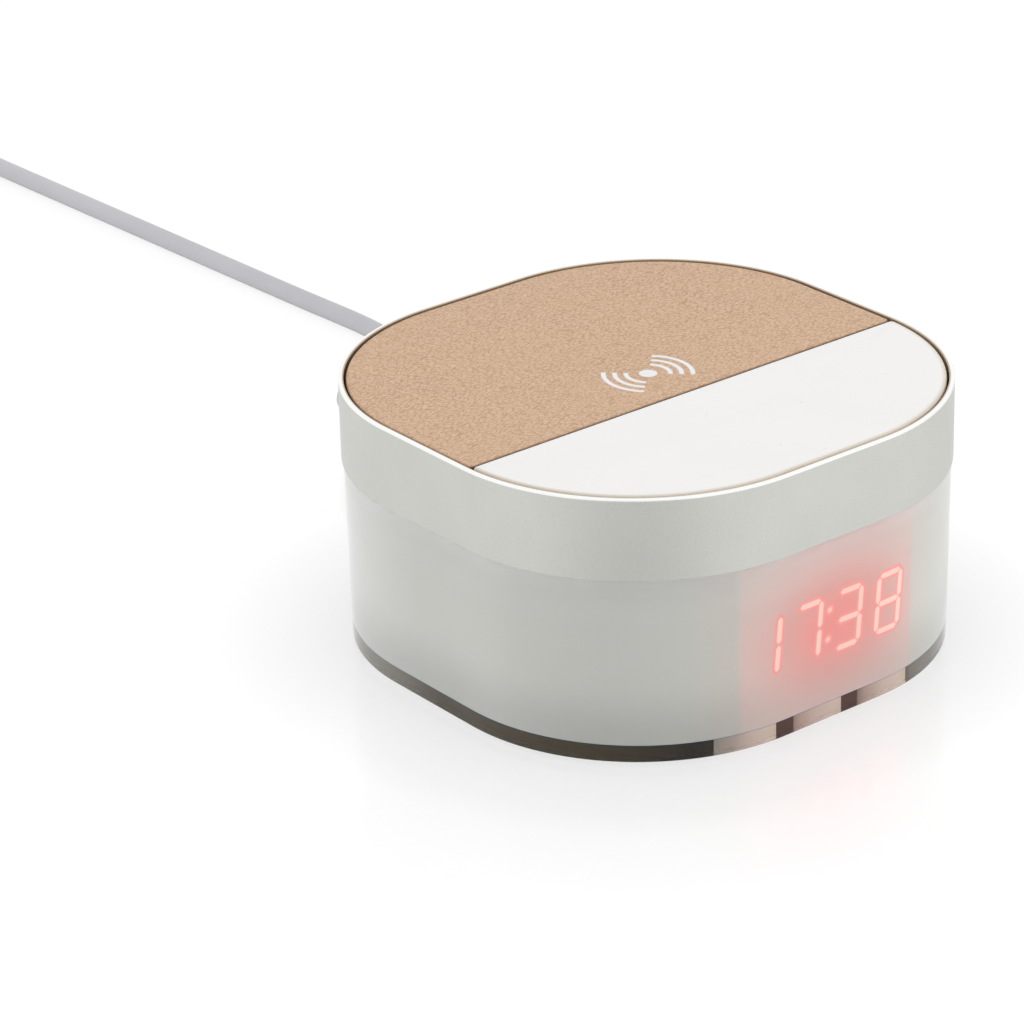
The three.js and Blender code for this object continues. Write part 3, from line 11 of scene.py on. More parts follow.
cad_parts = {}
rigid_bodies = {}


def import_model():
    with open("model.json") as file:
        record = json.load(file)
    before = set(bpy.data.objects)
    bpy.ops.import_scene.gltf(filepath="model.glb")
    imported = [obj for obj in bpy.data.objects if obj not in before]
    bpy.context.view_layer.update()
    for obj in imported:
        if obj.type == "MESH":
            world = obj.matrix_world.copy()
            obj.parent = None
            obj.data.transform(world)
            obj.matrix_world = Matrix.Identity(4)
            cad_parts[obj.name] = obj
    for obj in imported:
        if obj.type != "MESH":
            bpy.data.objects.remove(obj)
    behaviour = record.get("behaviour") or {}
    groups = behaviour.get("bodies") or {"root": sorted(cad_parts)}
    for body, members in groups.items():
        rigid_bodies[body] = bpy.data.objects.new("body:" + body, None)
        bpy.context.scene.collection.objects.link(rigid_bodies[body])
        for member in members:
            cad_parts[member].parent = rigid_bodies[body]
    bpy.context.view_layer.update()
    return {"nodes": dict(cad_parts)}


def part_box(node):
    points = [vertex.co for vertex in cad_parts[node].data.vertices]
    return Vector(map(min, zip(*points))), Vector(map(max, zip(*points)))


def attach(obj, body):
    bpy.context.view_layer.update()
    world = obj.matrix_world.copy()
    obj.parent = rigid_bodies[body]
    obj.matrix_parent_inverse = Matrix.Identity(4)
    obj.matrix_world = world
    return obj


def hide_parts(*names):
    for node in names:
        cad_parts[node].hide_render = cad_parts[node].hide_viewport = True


for thing in list(bpy.data.objects):
    bpy.data.objects.remove(thing)
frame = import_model()
nodes = frame["nodes"]
MM = 0.001

# The camera: where it stands, which way it looks, its roll and its lens
CAMERA_PLACE = (-391.1, -464.3, 303.5)
CAMERA_AZIMUTH = math.radians(-38.05)
CAMERA_ELEVATION = math.radians(24.96)
CAMERA_ROLL = math.radians(-1.58)
CAMERA_LENS = 145.408
CAMERA_SENSOR = 36

# The case: its outline, its walls and how they join
WIDTH = 90
STRAIGHT_SIDE = 20
CORNER_RADIUS = (WIDTH - STRAIGHT_SIDE) / 2
CORNERS = ((1, 1), (-1, 1), (-1, -1), (1, -1))
CORNER_STEPS = 36
HEIGHT = 45.3
FOOT_HEIGHT = 0.75
RING_BOTTOM = 31.7
RING_WALL = 2.55
RIM = 0.9
RIM_EDGE = 0.25
SHELF_WIDTH = 2.3
SHELF_TOP = 42
SHELF_BOTTOM = 40.8
INLAY_BOTTOM = 43.8
INLAY_GAP = 0.35
DIVIDER_Y = 10.55
DIVIDER_GAP = 0.5
DIVIDER_CORNER = 0.8
SLEEVE_STEP = 0.3
SLEEVE_DRAFT = 0.3
SLEEVE_WALL = 2.4
LINER_WALL = 1.2
LINER_BOTTOM = 2.8
BOND = 0.15
GLUE_OVERLAP = 0.05
FIT = 0.3
SMALL_EDGE = 0.1
ROUND_STEPS = 4
LEATHER_EDGE = 0.4
LEATHER_CROWN = 0.12
PLATE_EDGE = 0.5
SHARP_ANGLE = math.radians(35)

# The band that shows through the clear strip, and the x ranges of its white tabs
BAND_BOTTOM = FOOT_HEIGHT - 0.04
BAND_TOP = LINER_BOTTOM - 0.02
BAND_THICKNESS = 1.1
STRIP_SECTION = ((BAND_BOTTOM, 0), (BAND_TOP, 0), (BAND_TOP, BAND_THICKNESS), (BAND_BOTTOM, BAND_THICKNESS))
TABS = ((-21.35, -10.6), (-7.1, 2.95), (6.35, 17.25))
TAB_GAP = 0.02

# The display, as it shows on the frosted liner
DIGIT_PITCH = 8.42
DISPLAY_X = 0.13
DIGIT_WIDTH = 4.6
DIGIT_HEIGHT = 9.43
DIGIT_SLANT = 0.075
DISPLAY_Z = 16.2
DISPLAY_HALF_WIDTH = 17.5
COLON_SPACING = 5
STROKE_END_GAP = 0.15
STROKE_HALF_WIDTH = 0.46
# The window round the digits, and the y in front of which the liner glows
WINDOW_X = DISPLAY_X + 0.42
WINDOW_SOFT = 0.7
FRONT_Y = -20.0

# The plug in the port
PORT_Z = 12
PORT_WIDTH = 11.8
PORT_HEIGHT = 7.8
PLUG_CORNER = 2
PLUG_WIDTH = 10.6
PLUG_HEIGHT = 6.6
PLUG_START_Y = 41.4
PLUG_LENGTH = 19
RELIEF_LENGTH = 11
RELIEF_RADIUS = 2.9
RELIEF_TIP_RADIUS = 2.3
RELIEF_STEPS = 66
RELIEF_GROOVES = 4
GROOVE_DEPTH = 0.35

# The cable
CORD_DIAMETER = 3.6
CORD_START_Y = PLUG_START_Y + PLUG_LENGTH + RELIEF_LENGTH + FIT
CORD_REST = CORD_DIAMETER / 2 + 0.05
CORD_LOOPS = 9.5
CORD_LAYERS = 4
CORD_PITCH = 4.1
CORD_MEAN_RADIUS = 20.3
COIL_PLACE = (8.8, 296)
TIE_THICKNESS = 0.6
TIE_FOLD = 0.15
TAIL_LENGTH = 42
SUPPLY_Z = 4
LOOP_STEPS = 24

# The charging coil, as in the model
COIL_INNER_RADIUS = 10.25
COIL_PITCH = 1.2
COIL_WIRE = 0.75
COIL_TURNS = 10
COIL_Z = 41.525


def sleeve_outside(z):
    return SLEEVE_STEP + SLEEVE_DRAFT * (RING_BOTTOM - z) / (RING_BOTTOM - FOOT_HEIGHT)


# Mesh helpers


def rounded(*corners):
    """A closed profile of (x, z) points whose corners (x, z, radius) are rounded off."""
    line = []
    for i, (x, z, radius) in enumerate(corners):
        here = Vector((x, z))
        if not radius:
            line.append(here)
            continue
        before = (Vector(corners[i - 1][:2]) - here).normalized()
        after = (Vector(corners[(i + 1) % len(corners)][:2]) - here).normalized()
        half = before.angle(after) / 2
        centre = here + (before + after).normalized() * radius / math.sin(half)
        start = here + before * radius / math.tan(half)
        end = here + after * radius / math.tan(half)
        for step in range(ROUND_STEPS + 1):
            line.append(centre + (start.lerp(end, step / ROUND_STEPS) - centre).normalized() * radius)
    return line


def outline(inset):
    """Points round the clock's outline at an inset, anticlockwise seen from above."""
    return section(WIDTH, WIDTH, CORNER_RADIUS, inset, CORNER_STEPS)


def section(width, height, radius, inset, steps=6):
    """Points round a rectangle with round corners, at an inset."""
    points = []
    reach = max(radius - inset, 0.01)
    for corner, (sx, sy) in enumerate(CORNERS):
        for step in range(steps + 1):
            angle = (corner + step / steps) * math.pi / 2
            x = sx * (width / 2 - inset - reach) + reach * math.cos(angle)
            points.append((x, sy * (height / 2 - inset - reach) + reach * math.sin(angle)))
    return points


def lofted(rings, loops=False):
    """Points and faces through rings of equal count. The rings close on the first, or the ends are capped."""
    count = len(rings[0])
    points = [point for ring in rings for point in ring]
    faces = []
    for i in range(len(rings) if loops else len(rings) - 1):
        here, there = i * count, (i + 1) % len(rings) * count
        for j in range(count):
            k = (j + 1) % count
            faces.append((here + j, here + k, there + k, there + j))
    if not loops:
        faces.append(tuple(reversed(range(count))))
        faces.append(tuple(range(len(points) - count, len(points))))
    return points, faces


def solid(name, shape):
    """A mesh from points in millimetres and faces, turned outwards."""
    points, faces = shape
    data = bpy.data.meshes.new(name)
    data.from_pydata([Vector(point) * MM for point in points], [], faces)
    net = bmesh.new()
    net.from_mesh(data)
    bmesh.ops.recalc_face_normals(net, faces=net.faces)
    net.to_mesh(data)
    net.free()
    return data


def linked(name, data):
    thing = bpy.data.objects.new(name, data)
    bpy.context.scene.collection.objects.link(thing)
    return thing


def smooth(data):
    data.shade_smooth()
    data.set_sharp_from_angle(angle=SHARP_ANGLE)


def build(name, shape, material):
    """A piece of the case, smooth but for its sharp edges."""
    data = solid(name, shape)
    data.materials.append(material)
    smooth(data)
    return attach(linked(name, data), "case")


def stands_for(piece, slot, *names):
    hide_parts(*names)


def wall(profile):
    return lofted([[(x, y, z) for x, y in outline(inset)] for inset, z in profile], True)


def cut(piece, shape):
    """Takes a shape out of a piece."""
    tool = linked("cutter", solid("cutter", shape))
    step = piece.modifiers.new("cut", "BOOLEAN")
    step.object = tool
    step.solver = "EXACT"
    bpy.context.view_layer.update()
    result = bpy.data.meshes.new_from_object(piece.evaluated_get(bpy.context.evaluated_depsgraph_get()))
    piece.modifiers.clear()
    piece.data = result
    bpy.data.objects.remove(tool)
    smooth(piece.data)


def bar(width, height, stations, place_x=0, z=PORT_Z):
    """A bar along Y through stations (y, inset)."""
    rings = [
        [(place_x + x, y, z + up) for x, up in section(width, height, PLUG_CORNER, inset)]
        for y, inset in stations
    ]
    return lofted(rings)


def turned(profile, centre, sides=40):
    """A body of revolution along Y from (radius, distance) points, at a centre."""
    x, y, z = centre
    angles = [2 * math.pi * i / sides for i in range(sides)]
    rings = [
        [(x + radius * math.cos(a), y + along, z + radius * math.sin(a)) for a in angles]
        for radius, along in profile
    ]
    return lofted(rings)


def tube(name, points, diameter, material):
    data = bpy.data.curves.new(name, "CURVE")
    data.dimensions = "3D"
    spline = data.splines.new("POLY")
    spline.points.add(len(points) - 1)
    for spot, point in zip(spline.points, points):
        spot.co = (*(Vector(point) * MM), 1)
    data.bevel_depth = diameter / 2 * MM
    data.bevel_resolution = 5
    data.use_fill_caps = True
    data.materials.append(material)
    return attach(linked(name, data), "case")


# Materials


def colour(*screen):
    """A shader colour from red, green and blue of 0 to 255 on a screen."""
    return (*(((c / 255 + 0.055) / 1.055) ** 2.4 if c > 10 else c / 255 / 12.92 for c in screen), 1)


WHITE = (1, 1, 1, 1)
BLACK = (0, 0, 0, 1)


class Paint:
    """A node material round one Principled shader. Its patterns run in millimetres of the model's space."""

    def __init__(self, name, **sockets):
        self.material = bpy.data.materials.new(name)
        self.material.use_nodes = True
        self.tree = self.material.node_tree
        self.tree.nodes.clear()
        self.shader = self.node("BsdfPrincipled", **sockets)
        self.surface = self.shader.outputs[0]
        spot = self.node("TexCoord").outputs["Object"]
        self.spot = self.vector("SCALE", spot, Scale=1 / MM)
        self.x, self.y, self.z = self.split(self.spot)

    def node(self, kind, setting=None, *values, **sockets):
        """A node with its settings, and with values or links in its first sockets and in named ones."""
        made = self.tree.nodes.new("ShaderNode" + kind)
        for key, value in (setting or {}).items():
            setattr(made, key, value)
        named = [(value, made.inputs[key.replace("_", " ")]) for key, value in sockets.items()]
        for value, socket in (*zip(values, made.inputs), *named):
            self.put(value, socket)
        return made

    def put(self, value, socket):
        if isinstance(value, bpy.types.NodeSocket):
            self.tree.links.new(value, socket)
        else:
            socket.default_value = value

    def math(self, operation, *values):
        return self.node("Math", {"operation": operation}, *values).outputs[0]

    plus = partialmethod(math, "ADD")
    minus = partialmethod(math, "SUBTRACT")
    times = partialmethod(math, "MULTIPLY")
    most = partialmethod(math, "MAXIMUM")
    least = partialmethod(math, "MINIMUM")

    def vector(self, operation, *values, **sockets):
        made = self.node("VectorMath", {"operation": operation}, *values, **sockets)
        return made.outputs["Value" if operation in ("LENGTH", "DOT_PRODUCT", "DISTANCE") else "Vector"]

    def split(self, vector):
        return self.node("SeparateXYZ", Vector=vector).outputs

    def noise(self, scale, detail=2, roughness=0.5, spot=None):
        sockets = {"Vector": spot or self.spot, "Scale": scale, "Detail": detail, "Roughness": roughness}
        return self.node("TexNoise", **sockets).outputs["Fac"]

    def span(self, value, low, high, to_low=0.0, to_high=1.0, smooth=False):
        kind = {"interpolation_type": "SMOOTHSTEP"} if smooth else {}
        return self.node("MapRange", kind, value, low, high, to_low, to_high).outputs[0]

    def within(self, value, limit, soft, smooth=False):
        """1 below a limit and 0 above it, with a soft change between."""
        return self.span(value, limit - soft, limit + soft, 1.0, 0.0, smooth)

    def mix(self, share, first, second, kind="MIX"):
        """Colours mixed by a share of the second one. Three numbers are a colour on a screen."""
        made = self.node("Mix", {"data_type": "RGBA", "blend_type": kind}, share)
        for shade, index in ((first, 6), (second, 7)):
            on_screen = isinstance(shade, tuple) and len(shade) == 3
            self.put(colour(*shade) if on_screen else shade, made.inputs[index])
        return made.outputs[2]

    def blend(self, share, first, second):
        """Surfaces mixed by a share of the second one."""
        return self.node("MixShader", None, share, first, second).outputs[0]

    def ramp(self, value, stops):
        made = self.node("ValToRGB", Fac=value)
        elements = made.color_ramp.elements
        while len(elements) < len(stops):
            elements.new(0.5)
        for element, (place_at, shade) in zip(elements, stops):
            element.position = place_at
            element.color = shade
        return made.outputs["Color"]

    def specks(self, scale, radius, share):
        """Small spots, one in some of the cells of a grid this fine."""
        made = self.node("TexVoronoi", Vector=self.spot, Scale=scale)
        near = self.span(made.outputs["Distance"], radius * 0.5, radius, 1.0, 0.0)
        chosen = self.math("LESS_THAN", self.split(made.outputs["Color"])[0], share)
        return self.times(near, chosen)

    def feed(self, name, value):
        self.put(value, self.shader.inputs[name])

    def bump(self, height, depth):
        made = self.node("Bump", Height=height, Distance=depth * MM, Strength=1.0)
        self.feed("Normal", made.outputs[0])

    def colour(self, share, first, second, kind="MIX"):
        self.feed("Base Color", self.mix(share, first, second, kind))

    def rough(self, value, first, last, low=0.3, high=0.7):
        """Roughness that goes from first to last as a value goes from low to high."""
        self.feed("Roughness", self.span(value, low, high, first, last))

    def textured(self, pattern, first, last, depth, *span):
        """Ends a material whose roughness and bump follow one pattern."""
        self.rough(pattern, first, last, *span)
        self.bump(pattern, depth)
        return self.done()

    def done(self):
        self.node("OutputMaterial", Surface=self.surface)
        return self.material


def moulded(name, dark, light, roughness, grain=2.5, depth=0.02):
    """Moulded plastic with a fine spark-eroded grain and faint flow marks."""
    paint = Paint(name)
    flow = paint.noise(0.12, 3)
    fine = paint.noise(grain, 3, 0.6)
    paint.colour(paint.plus(flow, paint.times(fine, 0.2)), dark, light)
    return paint.textured(fine, roughness - 0.06, roughness + 0.08, depth)


def outline_distance(paint):
    """Distance in millimetres outside the clock's outline, level with the floor."""
    corner = (STRAIGHT_SIDE / 2, STRAIGHT_SIDE / 2, 0)
    level = paint.vector("MULTIPLY", paint.vector("ABSOLUTE", paint.spot), (1, 1, 0))
    past = paint.vector("MAXIMUM", paint.vector("SUBTRACT", level, corner), (0, 0, 0))
    return paint.minus(paint.vector("LENGTH", past), CORNER_RADIUS)


def satin_silver():
    """Blasted and anodised aluminium with a polished rim painted near white as a highlight, and painted shade
    inside the rim.
    """
    paint = Paint("satin_silver", Metallic=0.75, IOR=1.5)
    # Painted highlight: the rim's top is painted near white for the bright light it reflects; its lower
    # roughness is real polish.
    rim = paint.span(paint.z, HEIGHT - RIM_EDGE - 0.12, HEIGHT - RIM_EDGE + 0.02)
    fine = paint.noise(3.6, 3, 0.75)
    cloud = paint.noise(0.09)
    tone = paint.plus(paint.times(fine, 0.55), paint.math("MULTIPLY_ADD", cloud, 0.15, 0.15))
    side = paint.mix(tone, (176, 177, 171), (227, 228, 222))
    marks = paint.most(paint.specks(0.2, 0.025, 0.4), paint.specks(0.33, 0.03, 0.15))
    side = paint.mix(paint.times(marks, 0.4), side, (130, 130, 122))
    # The painted highlight on the rim.
    side = paint.mix(rim, side, (250, 250, 248))
    # Painted shade: from near the rim's inner edge inwards the ring is painted beige, standing in for the
    # shadow in the gap by the inlays.
    groove = paint.span(outline_distance(paint), -RIM + 0.2, -RIM + 0.3, 1.0, 0.0)
    paint.colour(groove, side, (196, 178, 156))
    roughness = paint.minus(paint.span(fine, 0.3, 0.7, 0.4, 0.5), paint.times(rim, 0.3))
    paint.feed("Roughness", roughness)
    paint.bump(paint.times(fine, paint.minus(1.0, rim)), 0.012)
    return paint.done()


SIGN_PLACE = (-0.27, -1.07, 0)
SIGN_DOT = 1.47
SIGN_FIRST = 3.55
SIGN_PITCH = 1.79
SIGN_ARCS = 3
SIGN_STROKE = 0.76
SIGN_SPREAD = math.tan(math.radians(44.5))
SIGN_SOFT = 0.07


def charging_sign(paint):
    """The share of white print of a dot with three arcs on each side."""
    x, y, _ = paint.split(paint.vector("SUBTRACT", paint.spot, SIGN_PLACE))
    radius = paint.math("SQRT", paint.plus(paint.times(x, x), paint.times(y, y)))
    dot = paint.within(radius, SIGN_DOT, SIGN_SOFT)
    past = paint.minus(radius, SIGN_FIRST - SIGN_PITCH / 2)
    wave = paint.math("ABSOLUTE", paint.minus(paint.math("MODULO", past, SIGN_PITCH), SIGN_PITCH / 2))
    stroke = paint.within(wave, SIGN_STROKE / 2, SIGN_SOFT)
    started = paint.math("GREATER_THAN", past, 0.0)
    inside = paint.times(started, paint.math("LESS_THAN", past, SIGN_PITCH * SIGN_ARCS))
    reach = paint.minus(paint.times(paint.math("ABSOLUTE", x), SIGN_SPREAD), paint.math("ABSOLUTE", y))
    wedge = paint.span(reach, -SIGN_SOFT, SIGN_SOFT)
    return paint.most(dot, paint.times(paint.times(stroke, wedge), inside))


GRAIN_TURN = (0, 0, math.radians(38))


def leather():
    """Fine pebbled leather, its creases painted darker as shade, with a burnished cut edge and a printed
    white sign.
    """
    paint = Paint("leather", IOR=1.45)
    grain = paint.node("Mapping", Vector=paint.spot, Rotation=GRAIN_TURN, Scale=(0.5, 1.5, 1)).outputs[0]
    warp = paint.node("TexNoise", Vector=grain, Scale=1.1, Detail=2.0).outputs["Color"]
    bent = paint.vector("ADD", grain, paint.vector("SCALE", warp, Scale=0.9))
    cells = paint.node("TexVoronoi", {"feature": "DISTANCE_TO_EDGE"}, Vector=bent, Scale=1.65)
    pebble = paint.span(cells.outputs["Distance"], 0.0, 0.2, smooth=True)
    small = paint.noise(2.9, 3, 0.6, bent)
    height = paint.plus(paint.times(pebble, 0.35), paint.times(small, 0.65))
    # Grain tone with painted shade: the low creases between pebbles are painted darker.
    hide = paint.mix(paint.span(height, 0.28, 0.7), (182, 144, 115), (217, 187, 158))
    cloud = paint.span(paint.noise(0.05, 3), 0.35, 0.65)
    hide = paint.mix(paint.times(cloud, 0.25), hide, (208, 174, 144))
    pores = paint.specks(0.5, 0.1, 0.12)
    hide = paint.mix(paint.times(pores, 0.6), hide, (140, 104, 76))
    top = paint.span(paint.z, HEIGHT - 0.5, HEIGHT - 0.12)
    hide = paint.mix(top, (84, 56, 32), hide)
    sign = paint.times(charging_sign(paint), top)
    paint.colour(sign, hide, (234, 234, 236))
    roughness = paint.minus(paint.span(height, 0.3, 0.8, 0.78, 0.6), paint.times(sign, 0.2))
    paint.feed("Roughness", roughness)
    relief = paint.times(height, paint.minus(1.0, paint.times(sign, 0.6)))
    paint.bump(relief, 0.07)
    return paint.done()


def white_plate():
    """Glossy white moulding with faint dust and hairline marks, and painted beige shade along its rounded
    edge by the rim.
    """
    paint = Paint("white_plate", IOR=1.5)
    cloud = paint.noise(0.07)
    fine = paint.noise(3.0)
    white = paint.mix(cloud, (235, 234, 232), (239, 238, 236))
    dust = paint.specks(0.22, 0.07, 0.35)
    white = paint.mix(paint.times(dust, 0.35), white, (196, 196, 192))
    # Painted shade: beige along the plate's rounded edge, where it drops into the gap by the rim.
    edge_painted_shade = paint.span(outline_distance(paint), -RIM - 1.4, -RIM - 0.35, 0.0, 1.0, True)
    paint.colour(edge_painted_shade, white, (204, 193, 176))
    return paint.textured(fine, 0.3, 0.38, 0.004)


ACRYLIC_SHINE = (0.38, 0.36, 0.33, 1)


def acrylic():
    """Clear acrylic that lets lamps through, with faint smears in its polish."""
    paint = Paint("acrylic", Transmission_Weight=1.0, IOR=1.49, Base_Color=WHITE, Specular_Tint=ACRYLIC_SHINE)
    smear = paint.noise(0.15, 3)
    paint.rough(smear, 0.0, 0.03, 0.3, 0.8)
    clear = paint.node("BsdfTransparent", Color=(0.93, 0.94, 0.93, 1)).outputs[0]
    shadow = paint.node("LightPath").outputs["Is Shadow Ray"]
    paint.surface = paint.blend(shadow, paint.surface, clear)
    return paint.done()


# Ends of the seven segments of a digit, as shares of half its width and half its height
SEGMENTS = {
    "a": ((-1, 1), (1, 1)),
    "b": ((1, 1), (1, 0)),
    "c": ((1, 0), (1, -1)),
    "d": ((-1, -1), (1, -1)),
    "e": ((-1, 0), (-1, -1)),
    "f": ((-1, 1), (-1, 0)),
    "g": ((-1, 0), (1, 0)),
}
LIT = ("bc", "abc", "abcdg", "abcdefg")


def lit_lines():
    """Middle and half length, across and up, of each lit stroke on the upright display."""
    lines = []
    for digit, names in enumerate(LIT):
        middle = (digit - 1.5) * DIGIT_PITCH
        for name in names:
            (x1, z1), (x2, z2) = SEGMENTS[name]
            half_x = abs(x2 - x1) * DIGIT_WIDTH / 4
            half_z = abs(z2 - z1) * DIGIT_HEIGHT / 4
            centre = (middle + (x1 + x2) * DIGIT_WIDTH / 4, (z1 + z2) * DIGIT_HEIGHT / 4)
            lines.append((centre, (max(half_x - STROKE_END_GAP, 0), max(half_z - STROKE_END_GAP, 0))))
    return lines


class Group(Paint):
    """A node group with the same helpers as a material."""

    def __init__(self, name, inputs, outputs):
        self.tree = bpy.data.node_groups.new(name, "ShaderNodeTree")
        for way, kind, names in (("INPUT", "Vector", inputs), ("OUTPUT", "Float", outputs)):
            for socket in names:
                self.tree.interface.new_socket(socket, in_out=way, socket_type="NodeSocket" + kind)
        self.enter = self.tree.nodes.new("NodeGroupInput").outputs
        self.leave = self.tree.nodes.new("NodeGroupOutput").inputs


def stroke_group():
    """Distance from a point to the edge of one stroke, which is mitred at both ends."""
    group = Group("stroke", ("Point", "Middle", "Half"), ("Edge",))
    offset = group.vector("ABSOLUTE", group.vector("SUBTRACT", group.enter["Point"], group.enter["Middle"]))
    past = group.vector("SUBTRACT", offset, group.enter["Half"])
    x, y, _ = group.split(past)
    side = group.minus(group.most(x, y), STROKE_HALF_WIDTH)
    mitre = group.times(group.plus(x, y), math.sqrt(0.5))
    group.put(group.most(side, mitre), group.leave["Edge"])
    return group.tree


def lit_distances(paint):
    """Distances to the edge of the nearest lit stroke, and to the middle of the nearest dot."""
    up = paint.minus(paint.z, DISPLAY_Z)
    across = paint.minus(paint.x, paint.math("MULTIPLY_ADD", up, DIGIT_SLANT, DISPLAY_X))
    point = paint.node("CombineXYZ", X=across, Y=up).outputs[0]
    dots = [paint.vector("DISTANCE", point, (0, side * COLON_SPACING / 2, 0)) for side in (-1, 1)]
    edge = 1000.0
    group = stroke_group()
    for middle, half in lit_lines():
        stroke = paint.node("Group", {"node_tree": group}, Point=point, Middle=(*middle, 0), Half=(*half, 0))
        edge = paint.least(edge, stroke.outputs["Edge"])
    return edge, paint.least(*dots)


# Red light through the frosted front, from the middle of the glow to its rim:
# place, red added, green left and blue left
GLOW_PLACE = (2.0, 0, DISPLAY_Z - 0.5)
GLOW_SIZE = (25.5, 1000, 17.5)
GLOW = (
    (0.0, 0.25, 0.51, 0.5), (0.2, 0.215, 0.54, 0.53), (0.4, 0.125, 0.65, 0.64), (0.57, 0.1, 0.77, 0.76),
    (0.67, 0.085, 0.83, 0.82), (0.77, 0.07, 0.87, 0.86), (1.0, 0.045, 0.93, 0.92),
)
# Painted red light of the display, which spreads this far beside the window
SPILL_REACH = 9
SPILL_TINT = (1, 0.94, 0.935, 1)
HALO_LIGHT = (0.3, 0, 0, 1)
HALO_TINT = (1, 0.56, 0.55, 1)
STROKE_LIGHT = (0.36, 0.06, 0.045, 1)
STROKE_TINT = (1, 0.99, 0.94, 1)
STROKE_SOFT = 0.14
# Painted light on the liner's top, which cancels the ring's shadow: from the ring down, share of this depth,
# and share of white
TOP_LIGHT_DEPTH = 10
LINER_TOP_PAINTED_LIGHT = ((0.0, 0.8), (0.08, 0.7), (0.13, 0.48), (0.22, 0.28), (0.4, 0.12), (0.9, 0))
# Painted light given off by the liner's top just under the ring, which lifts the ring's shadow there
PAINTED_TOP_GLOW = (
    (0.08, 0.085, 0.087, 0.078),
    (0.12, 0.06, 0.061, 0.055),
    (0.15, 0.045, 0.045, 0.041),
    (0.24, 0.016, 0.016, 0.014),
    (0.34, 0, 0, 0),
)


def lit_front(paint):
    """Tint left by, and light added by, the display on the liner's front."""
    edge, dot = lit_distances(paint)
    off_middle = paint.vector("DIVIDE", paint.vector("SUBTRACT", paint.spot, GLOW_PLACE), GLOW_SIZE)
    share = paint.vector("LENGTH", off_middle)
    front = paint.math("LESS_THAN", paint.y, FRONT_Y)
    reach = paint.math("ABSOLUTE", paint.minus(paint.x, WINDOW_X))
    window = paint.times(paint.within(reach, DISPLAY_HALF_WIDTH, WINDOW_SOFT, True), front)
    lit = paint.within(edge, 0.0, STROKE_SOFT, True)
    lit = paint.times(paint.most(lit, paint.span(dot, 0.2, 0.72, 0.85, 0.0, True)), front)
    near = paint.least(edge, paint.minus(dot, 0.5))
    halo = paint.times(paint.span(near, 0.22, 0.66, 1.0, 0.0, True), front)
    spill = paint.span(reach, DISPLAY_HALF_WIDTH, DISPLAY_HALF_WIDTH + SPILL_REACH, 1.0, 0.0, True)
    beside = paint.mix(paint.times(spill, front), WHITE, SPILL_TINT)
    left = paint.ramp(share, [(at, (1, green, blue, 1)) for at, _, green, blue in GLOW])
    tint = paint.mix(lit, paint.mix(halo, paint.mix(window, beside, left), HALO_TINT), STROKE_TINT)
    added = paint.ramp(share, [(at, (red, 0, 0, 1)) for at, red, _, _ in GLOW])
    glow = paint.mix(lit, paint.mix(halo, paint.mix(window, BLACK, added), HALO_LIGHT), STROKE_LIGHT)
    return tint, glow


def bare_frost(paint, fine, below_ring):
    """The unlit liner, with painted light and shade: painted paler at the back and near the ring, painted
    darker at its foot, with a painted pale line along its bottom edge, and a little dusty.
    """
    tone = paint.plus(paint.times(fine, 0.3), paint.times(paint.noise(0.05), 0.7))
    frost = paint.mix(tone, (206, 207, 201), (214, 215, 210))
    # Painted light: paler towards the back, for more light falling there.
    frost = paint.mix(paint.span(paint.y, 4.0, 28.0, 0.0, 0.35), frost, WHITE)
    # Painted shade: darker towards the liner's foot, for the shade of the dark base inside.
    frost = paint.mix(paint.span(paint.z, LINER_BOTTOM, LINER_BOTTOM + 11, 0.83, 1.0, True), BLACK, frost)
    # Painted light: white mixed into the liner near the ring, cancelling the ring's shadow there.
    top = paint.ramp(below_ring, [(at, (light, light, light, 1)) for at, light in LINER_TOP_PAINTED_LIGHT])
    frost = paint.mix(top, frost, WHITE)
    frost = paint.mix(paint.times(paint.specks(0.14, 0.03, 0.4), 0.35), frost, (110, 110, 104))
    # Painted highlight: a pale blue line along the liner's bottom edge, for the light that edge catches.
    edge_painted_glint = paint.span(paint.z, LINER_BOTTOM + 0.1, LINER_BOTTOM + 0.2, 1.0, 0.0)
    return paint.mix(edge_painted_glint, frost, (165, 192, 208))


def frosted():
    """The frosted liner. Red light digits behind it glow through its front, and its top, just under the ring,
    glows with painted light.
    """
    paint = Paint("frosted", IOR=1.45, Emission_Strength=1.0)
    tint, glow = lit_front(paint)
    fine = paint.noise(2.2, 3, 0.6)
    below_ring = paint.span(paint.z, RING_BOTTOM, RING_BOTTOM - TOP_LIGHT_DEPTH)
    paint.colour(1.0, bare_frost(paint, fine, below_ring), tint, "MULTIPLY")
    # Painted light: the liner's top glows just under the ring, lifting the ring's shadow.
    top_glow = paint.ramp(below_ring, [(at, (*light, 1)) for at, *light in PAINTED_TOP_GLOW])
    paint.feed("Emission Color", paint.mix(1.0, glow, top_glow, "ADD"))
    return paint.textured(fine, 0.6, 0.75, 0.02)


def sheath():
    """Soft pale cable jacket with a fine drawn texture."""
    paint = Paint("sheath", IOR=1.48)
    fine = paint.noise(1.6, 3, 0.6)
    cloud = paint.noise(0.04)
    tone = paint.plus(paint.times(fine, 0.4), paint.times(cloud, 0.6))
    tone = paint.plus(tone, paint.span(paint.y, 130.0, 250.0, 0.0, 0.5))
    paint.colour(tone, (179, 179, 183), (196, 196, 200))
    return paint.textured(fine, 0.48, 0.6, 0.015)


def metal(name, dark, light, roughness):
    """Plated metal with fine drawn streaks."""
    paint = Paint(name, Metallic=1.0)
    stretched = paint.vector("MULTIPLY", paint.spot, (2.5, 0.25, 2.5))
    streaks = paint.noise(1.0, 3, 0.6, stretched)
    paint.colour(streaks, dark, light)
    return paint.textured(streaks, roughness - 0.05, roughness + 0.1, 0.005)


